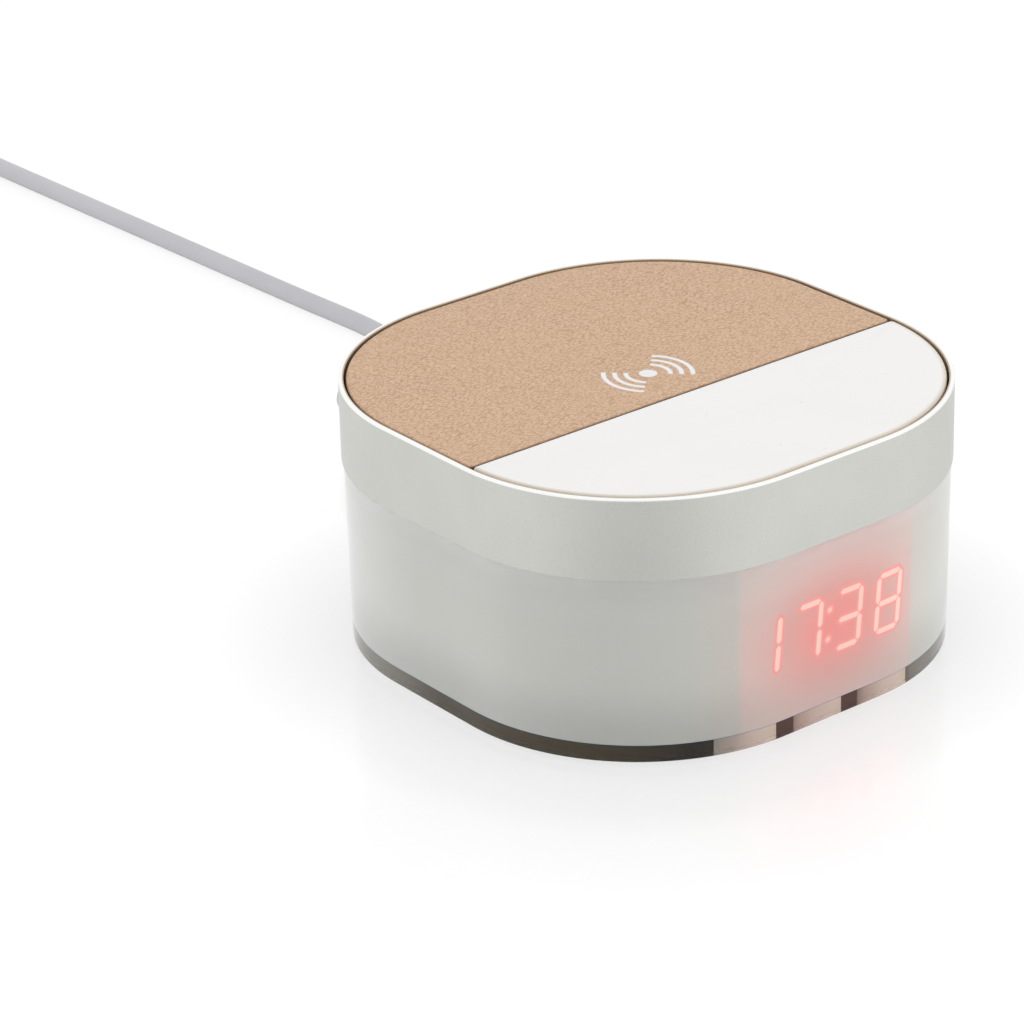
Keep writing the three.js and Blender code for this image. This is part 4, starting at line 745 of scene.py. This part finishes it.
def rubber():
    paint = Paint("rubber", IOR=1.5)
    fine = paint.noise(3.5, 4, 0.7)
    paint.colour(fine, (30, 30, 30), (52, 51, 50))
    return paint.textured(fine, 0.8, 0.95, 0.03)


def circuit_board():
    """Green solder mask over copper tracks, with tinned pads."""
    paint = Paint("circuit_board", IOR=1.55)
    sockets = {"Scale": 0.6, "Mortar_Size": 0.05, "Color1": BLACK, "Color2": BLACK, "Mortar": WHITE}
    grid = paint.node("TexBrick", {"offset": 0.35}, Vector=paint.spot, **sockets).outputs["Color"]
    mask = paint.noise(1.2)
    board = paint.mix(mask, (24, 78, 50), (32, 96, 62))
    board = paint.mix(paint.times(grid, 0.6), board, (52, 128, 84))
    pads = paint.specks(0.45, 0.22, 0.3)
    paint.colour(pads, board, (200, 196, 180))
    paint.rough(mask, 0.32, 0.45)
    paint.bump(paint.plus(grid, pads), 0.03)
    return paint.done()


def copper_wire():
    """Stranded coil wire under clear lacquer."""
    paint = Paint("copper_wire", Metallic=1.0)
    twist = paint.node("TexWave", Vector=paint.spot, Scale=0.9, Distortion=1.5, Detail=1.0).outputs["Fac"]
    paint.colour(twist, (150, 82, 46), (206, 128, 84))
    return paint.textured(twist, 0.28, 0.42, 0.04, 0.0, 1.0)


def tie_fabric():
    """Woven band of black hook and loop fabric."""
    paint = Paint("tie_fabric", Sheen_Weight=0.3)
    weave = paint.node("TexWave", Vector=paint.spot, Scale=1.6, Distortion=0.6).outputs["Fac"]
    cross = paint.node("TexWave", {"bands_direction": "Z"}, Vector=paint.spot, Scale=1.6).outputs["Fac"]
    height = paint.times(weave, cross)
    paint.colour(height, (24, 24, 25), (62, 61, 62))
    return paint.textured(height, 0.95, 0.8, 0.12, 0.0, 1.0)


def segment_light():
    """Translucent lens, lit red from behind where the strokes that show are on."""
    paint = Paint("segment_light", IOR=1.45, Emission_Strength=1.0)
    share = paint.span(lit_distances(paint)[0], -STROKE_HALF_WIDTH, 1.0)
    fine = paint.noise(2.0)
    paint.colour(fine, (214, 190, 184), (232, 208, 202))
    glow = paint.ramp(share, ((0.0, (1.0, 0.25, 0.2, 1)), (0.4, (0.7, 0.05, 0.04, 1)), (1.0, (0, 0, 0, 1))))
    paint.feed("Emission Color", glow)
    return paint.textured(fine, 0.35, 0.5, 0.01)


def band_plastic():
    """Dark plastic behind the clear strip, with painted light and shade: painted paler round the back, where
    the strip passes more light on, and painted darker and redder across the front.
    """
    paint = Paint("band_plastic", IOR=1.48)
    fine = paint.noise(2.5, 3, 0.6)
    dark = paint.mix(fine, (60, 51, 34), (70, 59, 41))
    # Painted shade and light: near black from the left of the front, and dark red, painted as the display's
    # light, from its middle on.
    dark = paint.mix(paint.span(paint.x, -37.0, -24.0), dark, (24, 14, 5))
    dark = paint.mix(paint.span(paint.x, -14.0, -11.0), dark, (58, 15, 4))
    # Painted light: paler round the back and at the right, where the strip passes more light on.
    pale = paint.most(paint.span(paint.x, 16.5, 18.5), paint.span(paint.y, -2.5, 15.5, smooth=True))
    left = paint.mix(fine, (120, 115, 106), (132, 128, 119))
    right = paint.mix(fine, (100, 92, 83), (112, 105, 96))
    paint.colour(pale, dark, paint.mix(paint.span(paint.x, -10.0, 10.0), left, right))
    return paint.textured(fine, 0.54, 0.68, 0.02)


# Painted light and shade of a tab from its left to its right: place and colour on a screen
TAB_TONES = (
    (0.0, 100, 80, 66), (0.14, 158, 134, 122), (0.5, 192, 172, 163),
    (0.85, 202, 184, 172), (1.0, 198, 180, 156),
)
TAB_WIDTH = 10.5
GREY_END = 6.5


def tab_plastic():
    """White plastic with painted light and shade: each tab painted redder and dimmer towards its left, as the
    display lights it, and the first one painted greyer there.
    """
    paint = Paint("tab_plastic", IOR=1.48)
    pitch = (TABS[-1][0] - TABS[0][0]) / 2
    along = paint.math("MODULO", paint.minus(paint.x, TABS[0][0]), pitch)
    fine = paint.noise(2.0, 3)
    white = paint.ramp(paint.span(along, 0.0, TAB_WIDTH), [(at, colour(*tone)) for at, *tone in TAB_TONES])
    # Painted shade: the first tab painted greyer at its left.
    grey = paint.span(paint.x, TABS[0][0], TABS[0][0] + GREY_END, 0.75, 0.0)
    white = paint.mix(grey, white, (143, 142, 134))
    paint.colour(paint.times(fine, 0.2), white, (196, 178, 168))
    return paint.textured(fine, 0.5, 0.6, 0.01)


def ribbon_film():
    """Flat flexible cable: silver tracks under clear film."""
    paint = Paint("ribbon_film", IOR=1.5)
    lines = paint.span(paint.math("PINGPONG", paint.x, 0.5), 0.15, 0.3)
    fine = paint.noise(2.0)
    tone = paint.plus(paint.times(lines, 0.8), paint.times(fine, 0.2))
    paint.colour(tone, (225, 225, 222), (170, 172, 174))
    paint.rough(tone, 0.45, 0.3, 0.0, 1.0)
    paint.bump(lines, 0.03)
    return paint.done()


# The scene


def make_camera():
    data = bpy.data.cameras.new("camera")
    data.sensor_width = CAMERA_SENSOR
    data.lens = CAMERA_LENS
    data.clip_start = 0.01
    data.clip_end = 20
    back = direction(CAMERA_AZIMUTH, CAMERA_ELEVATION)
    level_right = Vector((0, 0, 1)).cross(back).normalized()
    level_up = back.cross(level_right)
    right = math.cos(CAMERA_ROLL) * level_right + math.sin(CAMERA_ROLL) * level_up
    up = math.cos(CAMERA_ROLL) * level_up - math.sin(CAMERA_ROLL) * level_right
    camera = linked("camera", data)
    turn = Matrix((right, up, back)).transposed().to_4x4()
    camera.matrix_world = Matrix.Translation(Vector(CAMERA_PLACE) * MM) @ turn
    bpy.context.scene.camera = camera


def direction(azimuth, elevation):
    """Towards a place at an azimuth from -Y, to the right seen from there, and an elevation."""
    level = math.cos(elevation)
    return Vector((math.sin(azimuth) * level, -math.cos(azimuth) * level, math.sin(elevation)))


def softbox(name, azimuth, elevation, distance, size, power):
    """A square lamp that faces the clock. Its distance and size are in metres."""
    data = bpy.data.lights.new(name, "AREA")
    data.size = size
    data.energy = power
    lamp = linked(name, data)
    lamp.visible_glossy = False
    towards = direction(math.radians(azimuth), math.radians(elevation))
    turn = towards.to_track_quat("Z", "Y").to_matrix().to_4x4()
    lamp.matrix_world = Matrix.Translation(towards * distance) @ turn


def seen_rays(paint):
    """1 for rays from the camera, mirrors and glass."""
    path = paint.node("LightPath").outputs
    bounced = paint.most(path["Is Glossy Ray"], path["Is Transmission Ray"])
    return paint.most(path["Is Camera Ray"], bounced)


# Darker ends of the room: azimuth, how directly they are faced where the dark starts and is full, and tone
DARK_ENDS = ((-42, 0.86, 0.985, 0.72), (86, 0.78, 0.96, 0.875))


def room_tone(paint, towards):
    """How bright a mirror shows the room in a direction: its ends, past the softboxes, are darker."""
    mirrored = paint.node("LightPath").outputs["Is Glossy Ray"]
    towards = paint.vector("NORMALIZE", towards)
    tone = 1.0
    for azimuth, start, full, darkest in DARK_ENDS:
        facing = paint.vector("DOT_PRODUCT", towards, direction(math.radians(azimuth), 0))
        dark = paint.times(paint.span(facing, start, full, smooth=True), mirrored)
        tone = paint.times(tone, paint.span(dark, 0.0, 1.0, 1.0, darkest))
    return tone


class Backdrop(Paint):
    """The world's shader, with the same helpers as a material."""

    def __init__(self):
        world = bpy.data.worlds.new("world")
        bpy.context.scene.world = world
        world.use_nodes = True
        self.tree = world.node_tree
        self.tree.nodes.clear()


WORLD_LIGHT = 0.73


def make_world():
    paint = Backdrop()
    lights = paint.node("Background", Color=WHITE, Strength=WORLD_LIGHT).outputs[0]
    tone = room_tone(paint, paint.node("TexCoord").outputs["Generated"])
    shown = paint.node("Background", Color=WHITE, Strength=tone).outputs[0]
    paint.node("OutputWorld", Surface=paint.blend(seen_rays(paint), lights, shown))


FLOOR_SIZE = 4000
FLOOR_GLOW = 0.83
FLOOR_SHADE = 0.2
FLOOR_PAINTED_SHADOW = 0.865
MIRROR_AT_FOOT = 0.06
MIRROR_NEAR = 0.145
MIRROR_FAR = 0.03
MIRROR_ROUGHNESS = 0.1


def floor_material():
    """White table: it shows white, keeps the shadow, is painted darker close to the clock as a shadow, and
    mirrors faintly close to the clock.
    """
    paint = Paint("floor", Base_Color=colour(236, 236, 236), Roughness=0.9)
    away = outline_distance(paint)
    # Painted shadow: the floor is painted darker towards the clock's foot.
    tone = paint.times(room_tone(paint, paint.spot), paint.span(away, 0.0, 22.0, FLOOR_PAINTED_SHADOW, 1.0))
    show = paint.node("Emission", Color=WHITE, Strength=paint.times(tone, FLOOR_GLOW)).outputs[0]
    grey = paint.mix(tone, BLACK, (FLOOR_SHADE, FLOOR_SHADE, FLOOR_SHADE, 1))
    shade = paint.node("BsdfDiffuse", Color=grey).outputs[0]
    total = paint.node("AddShader", None, show, shade).outputs[0]
    plain = paint.blend(seen_rays(paint), paint.surface, total)
    share = paint.span(away, 16.0, 50.0, MIRROR_NEAR, MIRROR_FAR, True)
    share = paint.least(share, paint.span(away, 2.0, 14.0, MIRROR_AT_FOOT, MIRROR_NEAR))
    mirror = paint.node("BsdfGlossy", Color=WHITE, Roughness=MIRROR_ROUGHNESS).outputs[0]
    paint.surface = paint.blend(share, plain, mirror)
    return paint.done()


def make_floor():
    half = FLOOR_SIZE / 2 * MM
    data = bpy.data.meshes.new("floor")
    data.from_pydata([(x * half, y * half, 0) for x, y in CORNERS], [], [(0, 1, 2, 3)])
    data.materials.append(floor_material())
    linked("floor", data)


# The cable


def smooth_line(points, step):
    """Points about a step apart on the centripetal curve through the given ones."""
    points = [Vector(p) for p in points]
    ends = [2 * points[0] - points[1], *points, 2 * points[-1] - points[-2]]
    line = []
    for corners in zip(ends, ends[1:], ends[2:], ends[3:]):
        knots = [0.0]
        for near, far in zip(corners, corners[1:]):
            knots.append(knots[-1] + math.sqrt((far - near).length))
        steps = max(1, round((corners[2] - corners[1]).length / step))
        for i in range(steps):
            line.append(centripetal_point(corners, knots, knots[1] + (knots[2] - knots[1]) * i / steps))
    line.append(points[-1])
    return line


def centripetal_point(corners, knots, t):
    """The point at t of the curve through four corners, by Barry and Goldman's pyramid."""

    def between(low, high, first, second):
        return (first * (knots[high] - t) + second * (t - knots[low])) / (knots[high] - knots[low])

    sides = [between(i, i + 1, corners[i], corners[i + 1]) for i in range(3)]
    middles = [between(i, i + 2, sides[i], sides[i + 1]) for i in range(2)]
    return between(1, 2, *middles)


LOOPS_PER_LAYER = CORD_LOOPS / CORD_LAYERS
COIL_OUTER_RADIUS = CORD_MEAN_RADIUS + LOOPS_PER_LAYER * CORD_PITCH / 2
FIRST_LAYER_Z = TIE_THICKNESS + FIT + CORD_DIAMETER / 2


# Places on the run: x, y, and how far below the port or above the table
HANGING = ((1.4, 81.3, 0.6), (5.6, 89.7, 2.2), (12, 96.5, 4.4), (20.3, 101, 6.5), (28.4, 105.5, 8.3))
LYING = (
    (34.9, 112.3, 0.6), (38.9, 120.2, 0.15), (40.1, 129, 0), (39.3, 151, 0), (38.6, 170, 0),
    (37.9, 190, 0), (37.2, 210, 0), (36.4, 232, 0), (35.7, 253, 0), (34.8, 275, 0.3),
)


def run_points():
    """The stretch from the inlet plug to the coil."""
    hanging = [(x, y, PORT_Z - drop) for x, y, drop in HANGING]
    return [(0, CORD_START_Y, PORT_Z), *hanging, *((x, y, CORD_REST + rise) for x, y, rise in LYING)]


def coil_points():
    """Loops that spiral in and out, and climb a layer in the half turn where the spiral reverses."""
    points = []
    for i in range(round(LOOP_STEPS * CORD_LOOPS) + 1):
        turn = i / LOOP_STEPS
        layer = min(int(turn / LOOPS_PER_LAYER), CORD_LAYERS - 1)
        in_layer = turn - layer * LOOPS_PER_LAYER
        inwards = in_layer if layer % 2 == 0 else LOOPS_PER_LAYER - in_layer
        radius = COIL_OUTER_RADIUS - CORD_PITCH * inwards
        reversal = round(turn / LOOPS_PER_LAYER)
        past = (turn - reversal * LOOPS_PER_LAYER) * 4
        climbs = 0 < reversal < CORD_LAYERS and abs(past) < 1
        level = reversal - 0.5 + past / 2 if climbs else layer
        angle = 2 * math.pi * turn
        x = COIL_PLACE[0] + radius * math.cos(angle)
        y = COIL_PLACE[1] + radius * math.sin(angle)
        points.append(Vector((x, y, FIRST_LAYER_Z + level * CORD_PITCH)))
    return points


def tail_points(start):
    """The stretch from the coil down to the supply plug."""
    drop = start.z - SUPPLY_Z
    shares = ((0.25, 0.12), (0.5, 0.5), (0.75, 0.88), (1, 1))
    return [Vector((start.x, start.y - along * TAIL_LENGTH, start.z - down * drop)) for along, down in shares]


def cable(material):
    coil = coil_points()
    straight = Vector((0, -CORD_DIAMETER, 0))
    end = coil[-1] + straight
    line = smooth_line([*run_points(), coil[0] + straight, *coil, end, *tail_points(end)], 1.6)
    piece = tube("cable", line, CORD_DIAMETER, material)
    stands_for(piece, "cable_sheath", "cable_run", "cable_coil", "cable_tail")


# Pieces of the case


def top_ring():
    profile = rounded(
        (0.02, HEIGHT, RIM_EDGE),
        (RIM, HEIGHT, 0.12),
        (RIM, SHELF_TOP, SMALL_EDGE),
        (RIM + SHELF_WIDTH, SHELF_TOP, SMALL_EDGE),
        (RIM + SHELF_WIDTH, SHELF_BOTTOM, SMALL_EDGE),
        (RING_WALL, SHELF_BOTTOM, SMALL_EDGE),
        (RING_WALL, RING_BOTTOM, 0.2),
        (0.0, RING_BOTTOM, 0.18),
    )
    stands_for(build("satin_ring", wall(profile), satin_silver()), "silver_ring", "top_ring")


def inlay_ring(start_y, inset, z):
    """Points round one side of the split top, written for the +Y side, at an inset from its edge."""
    radius = CORNER_RADIUS - RIM - INLAY_GAP
    middle = STRAIGHT_SIDE / 2
    side_y = start_y + DIVIDER_CORNER
    first = math.asin(max(0, (side_y - middle) / radius))
    edge = middle + radius * math.cos(first) - DIVIDER_CORNER
    small = DIVIDER_CORNER - inset
    arcs = (
        (edge, side_y, small, -math.pi / 2, 0, 8),
        (middle, middle, radius - inset, first, math.pi / 2, CORNER_STEPS),
        (-middle, middle, radius - inset, math.pi / 2, math.pi - first, CORNER_STEPS),
        (-edge, side_y, small, math.pi, math.pi * 1.5, 8),
    )
    return [
        (x + reach * math.cos(a), y + reach * math.sin(a), z)
        for x, y, reach, start, end, steps in arcs
        for a in (start + (end - start) * i / steps for i in range(steps + 1))
    ]


def inlay(name, start_y, edge, crown, material):
    """A flat pad with a round upper edge and a top that rises by a crown towards its middle."""
    shoulder = HEIGHT - crown - edge
    rings = [inlay_ring(start_y, 0.12, INLAY_BOTTOM), inlay_ring(start_y, 0, INLAY_BOTTOM + 0.12)]
    for i in range(7):
        angle = i / 6 * math.pi / 2
        rings.append(inlay_ring(start_y, edge * (1 - math.cos(angle)), shoulder + edge * math.sin(angle)))
    last = rings[-1]
    centre = sum((Vector(point) for point in last), Vector()) / len(last)
    for share in (0.985, 0.95, 0.88, 0.75, 0.55, 0.3):
        rise = crown * math.sin((1 - share) * math.pi / 2) ** 0.5
        rings.append([Vector(point).lerp(centre, 1 - share) + Vector((0, 0, rise)) for point in last])
    return build(name, lofted(rings), material)


def leather_pad():
    piece = inlay("leather_inlay", -DIVIDER_Y + DIVIDER_GAP / 2, LEATHER_EDGE, LEATHER_CROWN, leather())
    stands_for(piece, "leather", "leather_pad")


def front_plate():
    piece = inlay("white_inlay", DIVIDER_Y + DIVIDER_GAP / 2, PLATE_EDGE, 0.0, white_plate())
    piece.data.transform(Matrix.Rotation(math.pi, 4, "Z"))
    stands_for(piece, "white_plate", "front_plate")


def port_hole():
    return bar(PORT_WIDTH, PORT_HEIGHT, ((WIDTH / 3, 0), (WIDTH / 2 + 2, 0)))


def clear_sleeve():
    """The clear wall. Clear glue joins it to the liner and the band below, so they meet without a gap."""
    outer_low, outer_high = sleeve_outside(FOOT_HEIGHT), sleeve_outside(RING_BOTTOM)
    glued = SLEEVE_WALL + BOND + GLUE_OVERLAP
    profile = rounded(
        (outer_high, RING_BOTTOM, SMALL_EDGE),
        (outer_high + glued, RING_BOTTOM, 0.05),
        (outer_low + glued, FOOT_HEIGHT, 0.0),
        (outer_low, FOOT_HEIGHT, 0.06),
    )
    piece = build("sleeve_wall", wall(profile), acrylic())
    cut(piece, port_hole())
    stands_for(piece, "clear_acrylic", "clear_sleeve")


def diffuser_liner():
    high = sleeve_outside(RING_BOTTOM) + SLEEVE_WALL + BOND
    low = sleeve_outside(LINER_BOTTOM) + SLEEVE_WALL + BOND
    profile = rounded(
        (high, SHELF_BOTTOM, SMALL_EDGE),
        (high + LINER_WALL, SHELF_BOTTOM, SMALL_EDGE),
        (high + LINER_WALL, RING_BOTTOM, 0),
        (low + LINER_WALL, LINER_BOTTOM, 0.12),
        (low, LINER_BOTTOM, 0.12),
        (high, RING_BOTTOM, 0),
    )
    piece = build("frosted_wall", wall(profile), frosted())
    cut(piece, port_hole())
    stands_for(piece, "frosted_liner", "diffuser_liner")


def front_stop(x):
    """Where the outline's front passes an x behind the clear wall: corner centre and angle in degrees."""
    past = abs(x) - STRAIGHT_SIDE / 2
    if past <= 0:
        return (x, -STRAIGHT_SIDE / 2, -90)
    turn = math.degrees(math.asin(past / (CORNER_RADIUS - SLEEVE_WALL - BOND)))
    side = math.copysign(1, x)
    return (side * STRAIGHT_SIDE / 2, -STRAIGHT_SIDE / 2, -90 + side * turn)


def front_stops(start, end, steps=16):
    return [front_stop(start + (end - start) * i / steps) for i in range(steps + 1)]


def round_stops(start, end):
    """Stops anticlockwise from an x at the right of the front, round the back, to an x at its left."""
    first, last = front_stop(start)[2], front_stop(end)[2] + 360
    spot = STRAIGHT_SIDE / 2
    stops = []
    for i, (sx, sy) in enumerate(((1, -1), (1, 1), (-1, 1), (-1, -1))):
        low, high = max(first, 90 * i - 90), min(last, 90 * i)
        for step in range(CORNER_STEPS + 1):
            stops.append((sx * spot, sy * spot, low + (high - low) * step / CORNER_STEPS))
    return stops


def strip_bar(stops):
    """A bar behind the clear strip, through stops of the outline."""
    rings = []
    for x, y, angle in stops:
        turn = math.radians(angle)
        ring = []
        for z, depth in STRIP_SECTION:
            reach = CORNER_RADIUS - sleeve_outside(z) - SLEEVE_WALL - BOND - depth
            ring.append((x + reach * math.cos(turn), y + reach * math.sin(turn), z))
        rings.append(ring)
    return lofted(rings)


def merged(shapes):
    points, faces = [], []
    for more_points, more_faces in shapes:
        start = len(points)
        points += more_points
        faces += [tuple(start + i for i in face) for face in more_faces]
    return points, faces


def strip_band(dark, white):
    """What shows through the clear strip: a dark band, with three white light tabs at the front."""
    tabs = [strip_bar(front_stops(start + TAB_GAP, end - TAB_GAP)) for start, end in TABS]
    slots = [strip_bar(front_stops(left[1], right[0])) for left, right in zip(TABS, TABS[1:])]
    around = strip_bar(round_stops(TABS[-1][1], TABS[0][0]))
    build("base_band", merged([around, *slots]), dark)
    build("light_tabs", merged(tabs), white)


def relief(name, node, start_y, centre_x, z, material):
    """Tapered strain relief with round grooves."""
    profile = []
    for i in range(RELIEF_STEPS + 1):
        share = i / RELIEF_STEPS
        body = RELIEF_RADIUS + (RELIEF_TIP_RADIUS - RELIEF_RADIUS) * share
        wave = math.cos(2 * math.pi * (share * RELIEF_GROOVES - 0.35))
        groove = GROOVE_DEPTH * max(0, wave) ** 0.5 if 0.1 < share < 0.92 else 0
        profile.append((body - groove, share * RELIEF_LENGTH))
    for end in (0, -1):
        profile[end] = (profile[end][0] - 0.25, profile[end][1])
    piece = build(name, turned(profile, (centre_x, start_y, z)), material)
    stands_for(piece, "cable_sheath", node)


def gripped(length, bevel, grip_start, grip_end, grooves, depth):
    """Stations (y, inset) of a plug's grip: ends rounded by a bevel, and shallow grooves across it."""
    angles = [i / 5 * math.pi / 2 for i in range(6)]
    start = [(bevel * (1 - math.cos(a)), bevel * (1 - math.sin(a))) for a in angles]
    middle = []
    steps = grooves * 8
    for i in range(steps + 1):
        share = i / steps
        wave = (1 - math.cos(2 * math.pi * grooves * share)) / 2
        middle.append((grip_start + (grip_end - grip_start) * share, depth * wave))
    return start + middle + [(length - along, inset) for along, inset in reversed(start)]


def inlet_plug_body(material):
    stations = [(PLUG_START_Y + y, inset) for y, inset in gripped(PLUG_LENGTH, 0.7, 7, 15, 5, 0.25)]
    piece = build("inlet_grip", bar(PLUG_WIDTH, PLUG_HEIGHT, stations), material)
    stands_for(piece, "cable_sheath", "inlet_plug_body")


def supply_plug_body(material):
    low, high = (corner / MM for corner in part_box("supply_plug_body"))
    stations = [(low.y + y, inset) for y, inset in gripped(high.y - low.y, 0.8, 6, 16, 6, 0.3)]
    shape = bar(high.x - low.x, high.z - low.z, stations, (low.x + high.x) / 2, SUPPLY_Z)
    stands_for(build("supply_grip", shape, material), "cable_sheath", "supply_plug_body")


def supply_relief(material):
    low, high = (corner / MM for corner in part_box("supply_plug_relief"))
    relief("supply_relief", "supply_plug_relief", low.y, (low.x + high.x) / 2, SUPPLY_Z, material)


def coil_tie():
    """Woven band round the coil, with rounded folds."""
    low, high = (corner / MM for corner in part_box("coil_tie"))
    middle = (low + high) / 2
    start, end = low.x + TIE_FOLD, high.x - TIE_FOLD
    outside = ((low.x, 0.12), (start, 0), (end, 0), (high.x, 0.12))
    inside = ((high.x, 0.5), (end, TIE_THICKNESS), (start, TIE_THICKNESS), (low.x, 0.5))
    rings = [
        [(x, middle.y + a, middle.z + b) for a, b in section(high.y - low.y, high.z - low.z, 1.6, inset)]
        for x, inset in (*outside, *inside)
    ]
    stands_for(build("tie_band", lofted(rings, True), tie_fabric()), "tie_fabric", "coil_tie")


def charging_coil(material):
    points = []
    steps = 48
    for i in range(steps * COIL_TURNS + 1):
        turn = i / steps
        radius = COIL_INNER_RADIUS + COIL_PITCH * turn
        angle = 2 * math.pi * turn
        points.append((radius * math.cos(angle), radius * math.sin(angle), COIL_Z))
    before = (points[0][0], points[0][1] - COIL_WIRE, COIL_Z)
    after = (points[-1][0], points[-1][1] + COIL_WIRE, COIL_Z)
    piece = tube("coil_winding", [before, *points, after], COIL_WIRE, material)
    stands_for(piece, "copper_wire", "charging_coil")


def dress(material, *names):
    """Gives CAD nodes whose names start so a material."""
    for name, node in nodes.items():
        if name.startswith(names):
            node.data.materials.clear()
            node.data.materials.append(material)


# Moulded plastics: name, dark, light, roughness, the solids they dress, and grain and depth if special
MOULDED = (
    ("case_plastic", (52, 42, 27), (62, 50, 34), 0.6, ("base_tray", "top_carrier")),
    ("button_plastic", (52, 50, 48), (70, 68, 66), 0.45, ("set_button", "up_button", "down_button")),
    ("frame_plastic", (206, 202, 194), (222, 218, 210), 0.5, ("display_frame",)),
    ("housing_plastic", (60, 58, 56), (80, 78, 75), 0.6, ("display_housing", "switch_plunger")),
    ("connector_plastic", (226, 222, 208), (240, 237, 226), 0.45, ("display_connector", "board_connector")),
    ("chip_epoxy", (26, 26, 28), (40, 40, 42), 0.6, ("charger_chip", "clock_chip"), 5),
    ("ferrite", (52, 52, 55), (70, 70, 74), 0.7, ("coil_shield", "power_inductor"), 4, 0.04),
)

bpy.context.scene.view_settings.view_transform = "Standard"
make_camera()
cord_material = sheath()
inlet_plug_body(cord_material)
relief("inlet_relief", "inlet_plug_relief", PLUG_START_Y + PLUG_LENGTH, 0, PORT_Z, cord_material)
supply_plug_body(cord_material)
supply_relief(cord_material)
coil_tie()
cable(cord_material)
make_world()
# Softboxes: azimuth, elevation, distance, size and power
softbox("left softbox", -105, 20, 1.1, 0.9, 3.2)
softbox("right softbox", 40, 20, 1.1, 0.9, 5.9)
softbox("top softbox", -38, 85, 1.2, 0.8, 1.5)
make_floor()

top_ring()
leather_pad()
front_plate()
clear_sleeve()
diffuser_liner()
wire = copper_wire()
charging_coil(wire)

strip_band(band_plastic(), tab_plastic())
for name, dark, light, roughness, solids, *grain in MOULDED:
    dress(moulded(name, dark, light, roughness, *grain), *solids)
dress(rubber(), "foot_")
steel = metal("screw_steel", (150, 150, 152), (196, 196, 198), 0.35)
dress(steel, "base_screw", "display_screw", "board_screw")
plated = metal("plated_steel", (196, 196, 194), (226, 226, 224), 0.25)
dress(plated, "inlet_socket", "inlet_plug_shell", "supply_plug_shell", "switch_housing")
dress(plated, "smoothing_capacitor")
dress(circuit_board(), "display_board", "main_board")
dress(wire, "coil_lead")
dress(segment_light(), "segment_lens")
dress(ribbon_film(), "display_ribbon")
